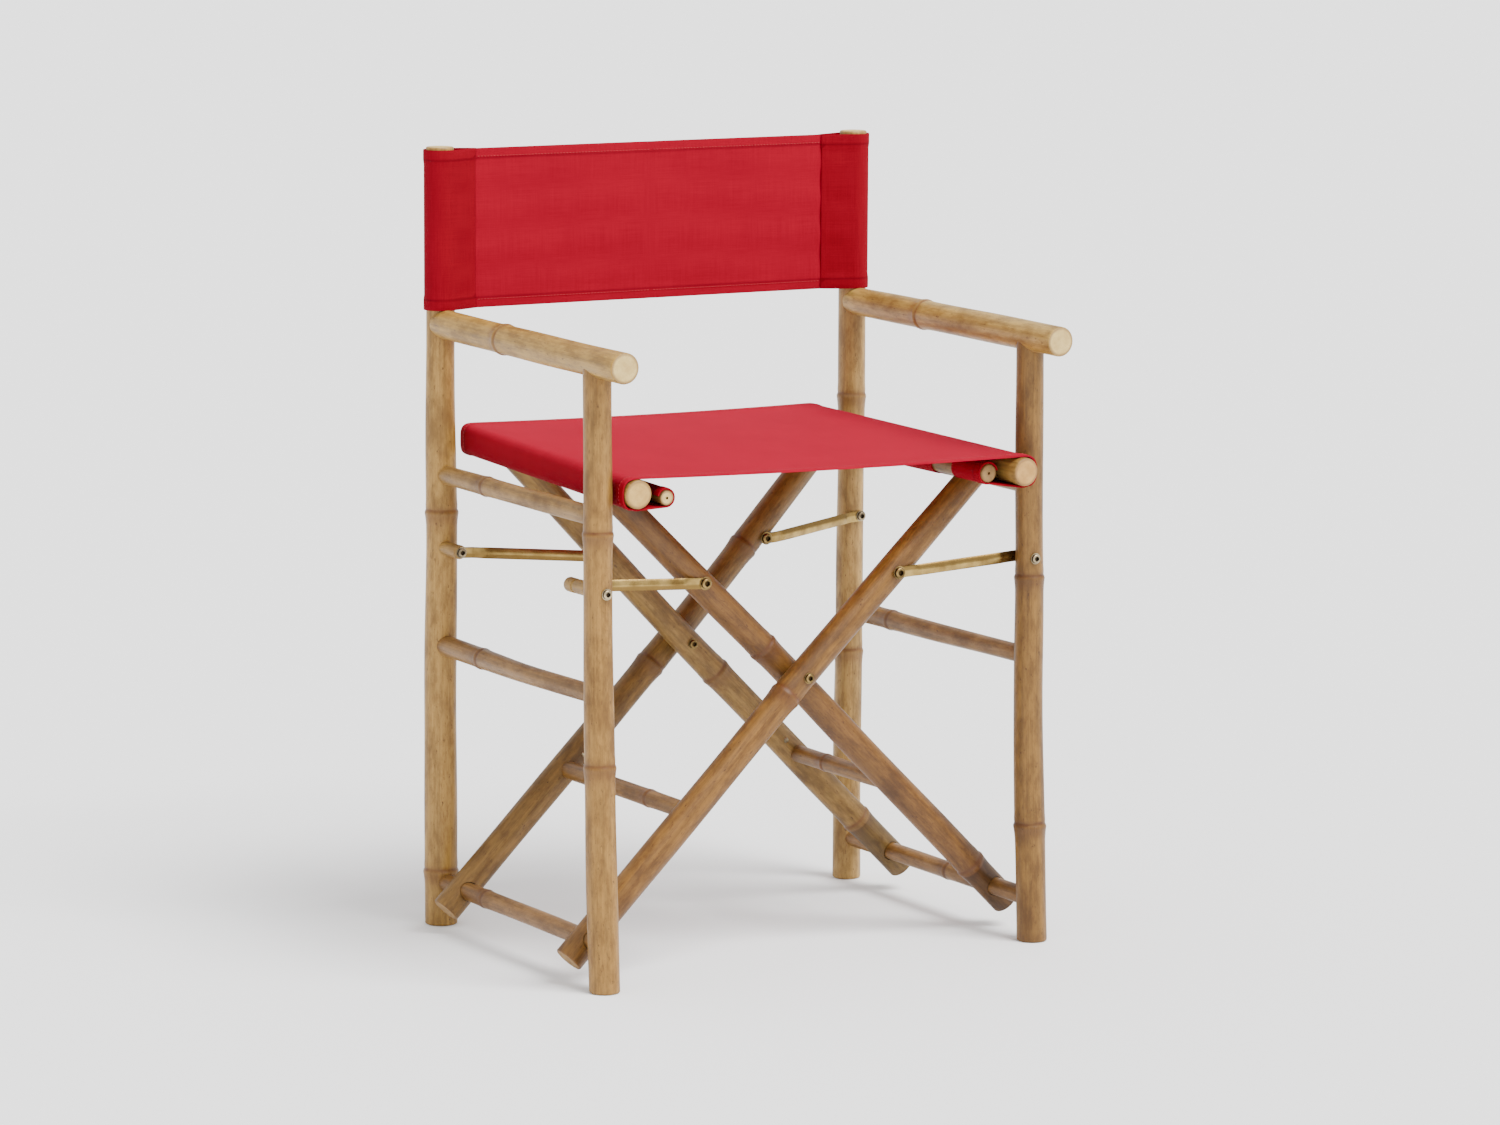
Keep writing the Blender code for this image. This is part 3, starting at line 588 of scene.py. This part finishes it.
def link(corner, sign, depths):
    """A pressed strip, laid out flat as a grid, its middle rows raised, then thickened and put in place."""
    name = f"{corner}_link"
    post_y, leg_y = depths
    start = Vector((sign * LINK_POST[0], 0, LINK_POST[1]))
    run = Vector((sign * LINK_LEG[0], 0, LINK_LEG[1])) - start
    whole = run.length + LINK_WIDTH
    deselect()
    bpy.ops.mesh.primitive_grid_add(x_subdivisions=LINK_COLUMNS, y_subdivisions=LINK_ROWS, size=1)
    obj = bpy.context.object
    for vertex in obj.data.vertices:
        along = (vertex.co.x + 0.5) * whole - LINK_WIDTH / 2
        across = vertex.co.y
        past_end = max(0.0, -along, along - run.length) / (LINK_WIDTH / 2)
        half = math.sqrt(max(0.0, 1 - past_end * past_end)) * LINK_WIDTH / 2
        from_tab = min(along, run.length - along) - LINK_TAB * 0.75
        raised = min(1.0, max(0.0, from_tab / RIB_RUN_OUT))
        raised = raised * raised * (3 - 2 * raised)
        rise = RIB_RISE * raised * (1 - abs(across * 2)) ** 0.8
        step = min(1.0, max(0.0, (along - LINK_TAB * 0.5) / (run.length - LINK_TAB)))
        depth = post_y + (leg_y - post_y) * step
        vertex.co = (along, depth - rise, across * 2 * max(half, LINK_WIDTH * 0.04))
    bpy.ops.object.mode_set(mode="EDIT")
    bpy.ops.mesh.select_all(action="SELECT")
    bpy.ops.mesh.remove_doubles(threshold=0.00001)
    bpy.ops.mesh.normals_make_consistent(inside=False)
    bpy.ops.object.mode_set(mode="OBJECT")
    wall = obj.modifiers.new("wall", "SOLIDIFY")
    wall.thickness = LINK_THICK
    wall.offset = 0
    edge = obj.modifiers.new("edge", "BEVEL")
    edge.width = 0.0002
    edge.segments = 2
    edge.limit_method = "ANGLE"
    for modifier in list(obj.modifiers):
        bpy.ops.object.modifier_apply(modifier=modifier.name)
    # Painted shade: the lower half of the strip's width is marked dark, for the darker reflection there.
    dark_patch_and_shade = obj.data.attributes.new("dark_patch_and_shade", "FLOAT", "POINT")
    for index, vertex in enumerate(obj.data.vertices):
        dark_patch_and_shade.data[index].value = 0.90 if vertex.co.z < -LINK_WIDTH * 0.03 else 0.0
    turn = Matrix.Rotation(-math.atan2(run.z, run.x), 4, "Y")
    obj.data.transform(Matrix.Translation(start) @ turn)
    obj.data.materials.append(brass)
    bpy.ops.object.shade_smooth_by_angle(angle=math.radians(35))
    return name_piece(obj, name, name)


link_depth = {}
for corner, sign in (("left_front", -1), ("right_front", 1), ("left_rear", -1), ("right_rear", 1)):
    low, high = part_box(f"{corner}_link")
    bolt_low, bolt_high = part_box(f"{corner}_link_leg_bolt")
    leg_y = bolt_high.y - LINK_THICK / 2
    same = high.y - low.y < 2 * LINK_THICK
    post_y = leg_y if same else high.y - LINK_THICK / 2
    link_depth[corner] = (post_y, leg_y)
    link(corner, sign, link_depth[corner])

# ---- Bolts, screws and pegs ----
# Socket bolts on thin washers hold the links and cross the legs at their middle. The left links sit
# on turned bamboo pegs that keep them off their posts.
HEAD_R = 0.0058
LINK_HEAD_R = 0.0068
HEAD_LENGTH = 0.0036
DOME_SHARE = 0.86
WASHER_R = 0.0062
WASHER_THICK = 0.0007
BOLT_R = 0.0025
ROUND_SIDES = 36
SOCKET_R = 0.0026
SOCKET_DEPTH = 0.0019


def socket_bolt(name, x, face_y, z, end_y, body, finish, head_r=HEAD_R):
    """A domed head with a six-sided socket, on its washer, and a plain shank into the wood."""
    share = head_r / HEAD_R
    front = face_y - HEAD_LENGTH * share
    middle = (front + face_y) / 2
    head = cylinder_along_y((x, middle, z), head_r * DOME_SHARE, HEAD_LENGTH * share, ROUND_SIDES)
    bpy.ops.object.transform_apply()
    bpy.ops.object.mode_set(mode="EDIT")
    bpy.ops.mesh.select_all(action="DESELECT")
    bpy.ops.object.mode_set(mode="OBJECT")
    for face in head.data.polygons:
        face.select = len(face.vertices) > 4 and face.center.y < middle
    bpy.ops.object.mode_set(mode="EDIT")
    bpy.ops.mesh.bevel(offset=0.0013 * share, segments=4, affect="EDGES")
    bpy.ops.object.mode_set(mode="OBJECT")
    socket = cylinder_along_y((x, front, z), SOCKET_R * share, 2 * SOCKET_DEPTH * share, 6)
    deselect()
    head.select_set(True)
    bpy.context.view_layer.objects.active = head
    cut = head.modifiers.new("socket", "BOOLEAN")
    cut.object = socket
    cut.operation = "DIFFERENCE"
    bpy.ops.object.modifier_apply(modifier=cut.name)
    bpy.data.objects.remove(socket)
    washer = cylinder_along_y((x, face_y - WASHER_THICK / 2, z), WASHER_R * share, WASHER_THICK, ROUND_SIDES)
    shank = cylinder_along_y((x, (face_y + end_y) / 2, z), BOLT_R * share, abs(end_y - face_y), 16)
    deselect()
    for part in (washer, shank, head):
        part.select_set(True)
    bpy.context.view_layer.objects.active = head
    bpy.ops.object.join()
    bpy.ops.object.transform_apply()
    head.data.materials.append(finish)
    bpy.ops.object.shade_smooth_by_angle(angle=math.radians(35))
    # Painted shade: the socket and the head's sides behind its front are marked dark.
    dark_patch_and_shade = head.data.attributes.new("dark_patch_and_shade", "FLOAT", "POINT")
    for index, vertex in enumerate(head.data.vertices):
        out = math.hypot(vertex.co.x - x, vertex.co.z - z)
        in_socket = out < SOCKET_R * share * 1.1
        head_side = vertex.co.y > front + 0.0010 * share and out < WASHER_R * share * 0.95
        dark_patch_and_shade.data[index].value = 1.0 if in_socket or head_side else 0.0
    return name_piece(head, name, body)


for corner in link_depth:
    low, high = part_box(f"{corner}_link_leg_bolt")
    socket_bolt(f"{corner}_link_leg_bolt", (low.x + high.x) / 2, link_depth[corner][1] - LINK_THICK / 2,
                (low.z + high.z) / 2, high.y, f"{corner}_link", bolt_brass, head_r=LINK_HEAD_R)
    low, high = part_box(f"{corner}_link_screw")
    socket_bolt(f"{corner}_link_screw", (low.x + high.x) / 2, low.y + HEAD_LENGTH, (low.z + high.z) / 2,
                high.y, f"{corner.split('_')[0]}_frame", screw_metal)
for end in ("front", "rear"):
    low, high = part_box(f"{end}_centre_bolt")
    socket_bolt(f"{end}_centre_bolt", 0, low.y + HEAD_LENGTH, CENTRE_Z, high.y, "outer_legs", bolt_brass)
    low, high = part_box(f"{end}_centre_nut")
    nut = cylinder_along_y((0, (low.y + high.y) / 2, CENTRE_Z), HEAD_R, high.y - low.y, 6)
    bpy.ops.object.transform_apply()
    bpy.ops.object.mode_set(mode="EDIT")
    bpy.ops.mesh.select_all(action="SELECT")
    bpy.ops.mesh.bevel(offset=0.0004, segments=2)
    bpy.ops.object.mode_set(mode="OBJECT")
    nut.data.materials.append(bolt_brass)
    bpy.ops.object.shade_smooth_by_angle(angle=math.radians(30))
    name_piece(nut, f"{end}_centre_nut", "outer_legs")

for name in ("left_front_link_spacer", "left_front_link_knob", "left_rear_link_peg"):
    low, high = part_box(name)
    x = (low.x + high.x) / 2
    z = (low.z + high.z) / 2
    culm(name, (Vector((x, low.y, z)), Vector((x, high.y, z))), (high.x - low.x) / 2, (), "left_frame",
         pale_bamboo)

for name, obj in frame["nodes"].items():
    for holder in obj.material_slots:
        if name.endswith("_pin") or name.endswith("_pole_screw"):
            holder.material = screw_metal
        if name.endswith("_dowel") and "armrest" in name:
            holder.material = sawn_end

# ---- Canvas ----
# Red polyester canvas in a plain weave, cut flat, hemmed along its free edges and sewn with thread of
# the same red. The sheets are thin closed shells.
CLOTH = 0.0012
THREAD_PITCH = 0.00085
CANVAS_RED = (0.315, 0.0016, 0.0170)
CANVAS_DEEP = (0.240, 0.0010, 0.0115)
SEWN_HALF_WIDTH = 0.0022


def canvas_finish():
    """Two crossed sets of threads raise the surface, and uneven threads make faint streaks both ways."""
    finish = new_finish("canvas", 0.86)
    tree = finish.node_tree
    uv = tree.nodes.new("ShaderNodeUVMap")
    uv.uv_map = "threads"
    split = tree.nodes.new("ShaderNodeSeparateXYZ")
    tree.links.new(uv.outputs["UV"], split.inputs["Vector"])
    waves = []
    for axis in ("X", "Y"):
        turns = calculate(finish, "MULTIPLY", split.outputs[axis], 2 * math.pi / THREAD_PITCH)
        waves.append(calculate(finish, "SINE", turns, 0.0))
    weave = calculate(finish, "MULTIPLY", waves[0], waves[1])
    warp = noise(finish, uv.outputs["UV"], (1400, 22, 1), 4, 0.6)
    weft = noise(finish, uv.outputs["UV"], (22, 1400, 1), 4, 0.6)
    cloudy = noise(finish, uv.outputs["UV"], (11, 11, 1), 3)
    half_warp, half_weft = (calculate(finish, "MULTIPLY", threads, 0.5) for threads in (warp, weft))
    slubs = calculate(finish, "ADD", half_warp, half_weft)
    colour = ramp(finish, slubs, (0.36, CANVAS_DEEP), (0.62, CANVAS_RED))
    colour = mix(finish, 0.6, colour, ramp(finish, cloudy, (0.3, 0.90), (0.7, 1.05)), "MULTIPLY")
    shade = ramp(finish, calculate(finish, "MULTIPLY_ADD", weave, 0.5), (0.0, 0.84), (1.0, 1.06))
    colour = mix(finish, 0.7, colour, shade, "MULTIPLY")
    # Painted shade: the cloth is darkened along each sewn line, darkest on the line itself.
    sewn = calculate(finish, "DIVIDE", attribute(finish, "sewn", "Fac"), SEWN_HALF_WIDTH)
    painted_seam_shade = ramp(finish, sewn, (0.0, 0.66), (0.35, 0.80), (1.0, 1.0))
    colour = mix(finish, 1.0, colour, painted_seam_shade, "MULTIPLY")
    # The layers attribute brings in painted light: painted shade on the sleeves and the seat's sides, and a
    # paler painted-lit top.
    colour = mix(finish, 1.0, colour, attribute(finish, "layers"), "MULTIPLY")
    wire(finish, colour, "Base Color")
    normal = bump(finish, weave, 0.35, 0.0002)
    wire(finish, bump(finish, slubs, 0.30, 0.0004, normal), "Normal")
    shader_of(finish).inputs["Specular IOR Level"].default_value = 0.06
    return finish


canvas = canvas_finish()
thread = new_finish("thread", 0.6)
thread_shade = noise(thread, object_place(thread), (900, 900, 900), 2)
thread_red = ramp(thread, thread_shade, (0.3, (0.30, 0.004, 0.009)), (0.7, (0.46, 0.010, 0.018)))
wire(thread, thread_red, "Base Color")


def cloth_shell(name, grid, keep=None):
    """A sheet from a grid of points, thickened both ways, with thread directions as its UV map.

    The first count of its vertices are on the side that the sheet's faces look out of.
    """
    grid = np.asarray(grid, float)
    rows, columns = grid.shape[:2]
    across = np.zeros((rows, columns))
    across[:, 1:] = np.cumsum(np.linalg.norm(np.diff(grid, axis=1), axis=2), axis=1)
    down = np.zeros((rows, columns))
    down[1:] = np.cumsum(np.linalg.norm(np.diff(grid, axis=0), axis=2), axis=0)
    corners = []
    for row in range(rows - 1):
        for column in range(columns - 1):
            if keep is None or keep(row, column):
                corners.append(((row, column), (row, column + 1), (row + 1, column + 1), (row + 1, column)))
    used = sorted({corner for face in corners for corner in face})
    place = {corner: index for index, corner in enumerate(used)}
    mesh = bpy.data.meshes.new(name)
    mesh.from_pydata([tuple(grid[corner]) for corner in used], [],
                     [[place[corner] for corner in face] for face in corners])
    layer = mesh.uv_layers.new(name="threads")
    for face, face_corners in zip(mesh.polygons, corners):
        for loop, corner in zip(face.loop_indices, face_corners):
            layer.data[loop].uv = (across[corner], down[corner])
    mesh.materials.append(canvas)
    obj = bpy.data.objects.new(name, mesh)
    bpy.context.scene.collection.objects.link(obj)
    deselect()
    obj.select_set(True)
    bpy.context.view_layer.objects.active = obj
    wall = obj.modifiers.new("wall", "SOLIDIFY")
    wall.thickness = CLOTH
    wall.offset = 0
    bpy.ops.object.modifier_apply(modifier=wall.name)
    bpy.ops.object.shade_smooth_by_angle(angle=math.radians(50))
    return obj, used, across.max(), down.max()


STITCH_PITCH = 0.0040
STITCH_LENGTH = 0.0028
STITCH_R = 0.00032
STITCH_SIDES = 6


def stitches(name, rows):
    """Rows of short raised stitches. Each row is (points along it, the cloth's outward direction there)."""
    template = []
    for share, thin in ((-1, 0.35), (-0.5, 1), (0.5, 1), (1, 0.35)):
        for step in range(STITCH_SIDES):
            angle = 2 * math.pi * step / STITCH_SIDES
            template.append((share * STITCH_LENGTH / 2, math.cos(angle) * STITCH_R * thin,
                             math.sin(angle) * STITCH_R * thin))
    template = np.array(template)
    last_ring = len(template) - STITCH_SIDES
    faces = [range(STITCH_SIDES)[::-1], range(last_ring, len(template))]
    for ring in range(0, last_ring, STITCH_SIDES):
        for step in range(STITCH_SIDES):
            following = (step + 1) % STITCH_SIDES
            faces.append([ring + corner for corner in
                          (step, following, STITCH_SIDES + following, STITCH_SIDES + step)])
    vertices = []
    all_faces = []
    for points, outward in rows:
        points = np.asarray(points, float)
        outward = np.broadcast_to(np.asarray(outward, float), points.shape)
        lengths = np.concatenate([[0], np.cumsum(np.linalg.norm(np.diff(points, axis=0), axis=1))])
        for distance in np.arange(STITCH_PITCH, lengths[-1] - STITCH_PITCH / 2, STITCH_PITCH):
            here, ahead, behind = [np.array([np.interp(distance + shift, lengths, points[:, axis])
                                             for axis in range(3)]) for shift in (0, 0.001, -0.001)]
            normal = np.array([np.interp(distance, lengths, outward[:, axis]) for axis in range(3)])
            along = (ahead - behind) / np.linalg.norm(ahead - behind)
            normal = normal - along * normal.dot(along)
            normal = normal / np.linalg.norm(normal)
            side = np.cross(normal, along)
            first = len(vertices)
            vertices.extend(here + template @ np.array((along, side, normal)))
            all_faces.extend([tuple(first + corner for corner in face) for face in faces])
    mesh = bpy.data.meshes.new(name)
    mesh.from_pydata([tuple(vertex) for vertex in vertices], [], all_faces)
    mesh.materials.append(thread)
    mesh.shade_smooth()
    obj = bpy.data.objects.new(name, mesh)
    bpy.context.scene.collection.objects.link(obj)
    return obj


# ---- Seat sling ----
# One canvas from dowel to dowel. Each side goes over its pole, down round the outside and back in to a
# thin dowel in the hem, and the hem is cut away where the legs reach the pole.
SEAT_END_Y = {"left": (-0.2045, 0.197), "right": (-0.2225, 0.203)}
SEAT_SAG = 0.0022
NOTCH_HALF = 0.0200
SEAT_ROWS = 46
TOP_COLUMNS = 26
NOTCH_ANGLE = 22
HEM_POINTS = 17
UNDER_POINTS = 5
WRAP_POINTS = 26
NOTCHED_COLUMNS = HEM_POINTS + UNDER_POINTS - 1
CLOTH_CLEAR = 0.0006
HEM_WIDTH = 0.011
SEAT_HEM = HEM_WIDTH / 0.42
STITCH_INSET = 0.8
HEM_RISE = 0.0007
# Painted shade for the sleeves round the rear posts.
PAINTED_SLEEVE_SHADE = (0.77, 0.616, 0.616)
# Painted light on the seat: a paler, pinker painted-lit top and darker painted-shade sides.
PAINTED_LIT_TOP = (1.18, 1.70, 1.40)
PAINTED_SHADED_SIDE = (0.84, 0.60, 0.60)
LIGHT_BLEND_COLUMNS = 8
BOX_FRONT = 2.7
BOX_REAR = 3.8
DOWEL_END_Y = {"left": -0.2045, "right": -0.2066}


def arc(centre, radius, start, end, count):
    angles = np.radians(np.linspace(start, end, count))
    return [centre + radius * Vector((math.cos(angle), 0, math.sin(angle))) for angle in angles]


def sling_side(side, y, hem_y, share):
    """One side of the sling in section, from the end of its hem to the top of its pole.

    The stiff cloth stands off the pole at its corners, most of all at the rear.
    """
    pole_at = on_line(seat_pole_line[side], y)
    dowel_at = on_line(dowel_line[side], hem_y)
    pole_r = SEAT_POLE_R + CLOTH_CLEAR + CLOTH / 2
    round_dowel = dowel_r[side] + CLOTH_CLEAR + CLOTH / 2
    turns = ((165, -95), (-80, -90 - NOTCH_ANGLE), (-90 - NOTCH_ANGLE, -270))
    if side == "right":
        turns = ((15, 275), (-100, -90 + NOTCH_ANGLE), (-90 + NOTCH_ANGLE, 90))
    hem = arc(dowel_at, round_dowel, *turns[0], HEM_POINTS)
    below = arc(pole_at, pole_r, *turns[1], UNDER_POINTS)
    wrap = arc(pole_at, pole_r, *turns[2], WRAP_POINTS)
    power = 2 / (BOX_FRONT + (BOX_REAR - BOX_FRONT) * share)
    boxed = []
    for point in wrap:
        out = (point - pole_at) / pole_r
        across, high = (math.copysign(abs(part) ** power, part) for part in (out.x, out.z))
        boxed.append(pole_at + Vector((across, 0, high)) * pole_r)
    return hem + below + boxed[1:]


def sling_section(share):
    """The whole section at a share of the seat's depth, with a slight sag between the poles."""
    halves = {}
    for side, (front, rear) in SEAT_END_Y.items():
        y = at(0, front + (rear - front) * share, 0).y
        hem_y = at(0, DOWEL_END_Y[side] + (rear - DOWEL_END_Y[side]) * share, 0).y
        halves[side] = sling_side(side, y, hem_y, share)
    left, right = halves["left"], halves["right"]
    top = []
    for step in range(1, TOP_COLUMNS + 1):
        across = step / (TOP_COLUMNS + 1)
        point = left[-1].lerp(right[-1], across)
        point.z -= SEAT_SAG * 4 * across * (1 - across)
        top.append(point)
    return left + top + right[::-1]


# Rows lie on the notches' edges as well as evenly, so that each notch is cut straight.
def depth_share(y, side):
    front, rear = SEAT_END_Y[side]
    return (y - at(0, front, 0).y) / (rear - front)


cuts = {"left": [], "right": []}
row_shares = set(np.round(np.linspace(0, 1, SEAT_ROWS), 5))
for side, which in (("left", "inner"), ("right", "outer")):
    for end in ("front", "rear"):
        notch_y = at(0, leg_depth[f"{end}_{which}"], 0).y
        pair = [round(depth_share(notch_y + offset, side), 5) for offset in (-NOTCH_HALF, NOTCH_HALF)]
        cuts[side].append(pair)
        row_shares |= set(pair)
row_shares |= {round(SEAT_HEM, 5), round(1 - SEAT_HEM, 5), 0.004, 0.996}
row_shares = sorted(row_shares)
seat_grid = [sling_section(share) for share in row_shares]


def seat_keeps(row, column):
    middle = (row_shares[row] + row_shares[row + 1]) / 2
    last = len(seat_grid[0]) - 1
    for side in ("left", "right"):
        in_hem = column < NOTCHED_COLUMNS if side == "left" else column >= last - NOTCHED_COLUMNS
        if in_hem and any(low < middle < high for low, high in cuts[side]):
            return False
    return True


seat, seat_used, seat_width, seat_depth = cloth_shell("seat_canvas", seat_grid, seat_keeps)


def raise_hems(obj, used, shares, width_share, sewn_edge=None, shaded_columns=()):
    """The folded hem along both free edges stands proud, and a painted shade darkens the sheet along its sewn
    lines.

    The shaded columns are painted a darker red, as painted shade.
    """
    normals = [vertex.normal.copy() for vertex in obj.data.vertices]
    for layer, kind in (("sewn", "FLOAT"), ("layers", "FLOAT_VECTOR")):
        obj.data.attributes.new(layer, kind, "POINT")
    sewn, layers = (obj.data.attributes[layer].data for layer in ("sewn", "layers"))
    for index, (row, column) in enumerate(used):
        from_edge = min(shares[row], 1 - shares[row])
        gap = abs(from_edge - width_share) / width_share * HEM_WIDTH
        if sewn_edge is not None:
            gap = min(gap, (obj.data.vertices[index].co - sewn_edge(row)).length)
        for shell in (index, index + len(used)):
            sewn[shell].value = gap
            # Painted shade on the shaded columns, even colour elsewhere.
            layers[shell].vector = PAINTED_SLEEVE_SHADE if column in shaded_columns else (1, 1, 1)
            if from_edge < width_share * 1.01:
                obj.data.vertices[shell].co += normals[shell] * HEM_RISE * (0.5 if shell > index else 1)


raise_hems(seat, seat_used, row_shares, SEAT_HEM)
# Painted light: the top is painted paler and pinker, for light from above and a sheen, and the sides and hems
# a deeper red, as painted shade.
side_columns = NOTCHED_COLUMNS + 14
for index, (_, column) in enumerate(seat_used):
    from_side = min(column, len(seat_grid[0]) - 1 - column)
    painted_light = min(1.0, max(0.0, (from_side - side_columns) / LIGHT_BLEND_COLUMNS))
    for shell in (index, index + len(seat_used)):
        seat.data.attributes["layers"].data[shell].vector = [
            shaded + (lit - shaded) * painted_light for shaded, lit in zip(PAINTED_SHADED_SIDE, PAINTED_LIT_TOP)]
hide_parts("seat_sling")

stitch_rows = []
for share in (SEAT_HEM * STITCH_INSET, 1 - SEAT_HEM * STITCH_INSET):
    section = sling_section(share)[NOTCHED_COLUMNS + 4:-(NOTCHED_COLUMNS + 4)]
    points = np.array([tuple(point) for point in section])
    run = np.gradient(points, axis=0)
    outward = np.stack([-run[:, 2], np.zeros(len(run)), run[:, 0]], axis=1)
    outward /= np.linalg.norm(outward, axis=1)[:, None]
    stitch_rows.append((points + outward * (CLOTH / 2 + HEM_RISE), outward))
seat_thread = stitches("seat_stitches", stitch_rows)
for piece in (seat, seat_thread):
    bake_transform(piece)

# ---- Back band ----
# One canvas band, hemmed top and bottom. Each end goes round its rear post and is sewn back to itself
# in an upright seam, and the single middle layer folds to the rear as the side frames close.
BAND_BOTTOM = 0.699
BAND_TOP = 0.8765
SEAM_X = 0.2243
SEAM_TUCK = 0.007
THREAD_LIFT = 0.0002
SEAM_ALLOWANCE = 0.002
BAND_ROWS = 34
SIDE_STEPS = 8
ROUND_STEPS = 24
HEM_STEPS = 60
HALF_COLUMNS = 30
band_hem = HEM_WIDTH / (BAND_TOP - BAND_BOTTOM)


def band_z(share):
    return BAND_BOTTOM + (BAND_TOP - BAND_BOTTOM) * share


heights = sorted(set(np.round(np.linspace(0, 1, BAND_ROWS), 5))
                 | {round(band_hem, 5), round(1 - band_hem, 5), 0.006, 0.994})
for side, sign in (("left", -1), ("right", 1)):
    body = f"{side}_frame"
    post = at(sign * REAR_X, BACK_Y, 0)
    radius = POST_R + CLOTH_CLEAR + CLOTH / 2
    reach = REAR_X - SEAM_X
    tangent = math.acos(radius / reach)
    grid = []
    for share in heights:
        pucker = 0.0007 * math.sin(17 * share + sign) + 0.0004 * math.sin(41 * share)
        row = []
        front_seam = post + Vector((-sign * reach, -CLOTH, 0))
        rear_seam = post + Vector((-sign * (reach + SEAM_ALLOWANCE), CLOTH, 0))
        front_tangent = post + radius * Vector((-sign * math.cos(tangent), -math.sin(tangent), 0))
        rear_tangent = post + radius * Vector((-sign * math.cos(tangent), math.sin(tangent), 0))
        for step in range(SIDE_STEPS):
            across = step / SIDE_STEPS
            point = front_seam.lerp(front_tangent, across)
            point.y -= pucker * math.sin(math.pi * across)
            row.append(point)
        for step in range(ROUND_STEPS + 1):
            angle = tangent + (2 * math.pi - 2 * tangent) * step / ROUND_STEPS
            row.append(post + radius * Vector((-sign * math.cos(angle), -math.sin(angle), 0)))
        for step in range(1, SIDE_STEPS + 1):
            across = step / SIDE_STEPS
            point = rear_tangent.lerp(rear_seam, across)
            point.y += pucker * math.sin(math.pi * across)
            row.append(point)
        for point in row:
            point.z = band_z(share)
        grid.append(row if sign > 0 else row[::-1])
    sleeve, sleeve_used, sleeve_width, sleeve_height = cloth_shell(f"back_sleeve_canvas_{side}", grid)
    seam_x = sign * SEAM_X
    # The whole sleeve round its post gets painted shade.
    raise_hems(sleeve, sleeve_used, heights, band_hem,
               sewn_edge=lambda row: at(seam_x, BACK_Y - CLOTH, band_z(heights[row])),
               shaded_columns=range(len(grid[0])))
    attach(sleeve, body)
    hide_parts(f"back_sleeve_{side}")

    seam_points = [at(sign * (SEAM_X + SEWN_HALF_WIDTH), BACK_Y - CLOTH * 1.5 - THREAD_LIFT, band_z(share))
                   for share in heights]
    seam_thread = stitches(f"back_seam_stitches_{side}", [([tuple(p) for p in seam_points], (0, -1, 0))])
    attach(seam_thread, body)

    grid = []
    outer_x = SEAM_X + SEAM_TUCK
    for share in heights:
        row = []
        for step in range(HALF_COLUMNS + 1):
            x = outer_x * step / HALF_COLUMNS
            drape = 0.0005 * math.sin(26 * share + 9 * x) * min(1.0, x / 0.05)
            row.append(at(sign * x, BACK_Y + drape, band_z(share)))
        grid.append(row if sign > 0 else row[::-1])
    panel, panel_used, panel_width, panel_height = cloth_shell(f"back_panel_canvas_{side}", grid)
    raise_hems(panel, panel_used, heights, band_hem)
    hem_rows = []
    for share in (band_hem * STITCH_INSET, 1 - band_hem * STITCH_INSET):
        points = [tuple(at(sign * SEAM_X * step / HEM_STEPS, BACK_Y - CLOTH / 2 - HEM_RISE - THREAD_LIFT,
                           band_z(share))) for step in range(HEM_STEPS + 1)]
        hem_rows.append((points, (0, -1, 0)))
    hem_thread = stitches(f"back_hem_stitches_{side}", hem_rows)
    for piece in (panel, hem_thread):
        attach(piece, body)
        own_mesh(piece)
    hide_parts("back_panel")
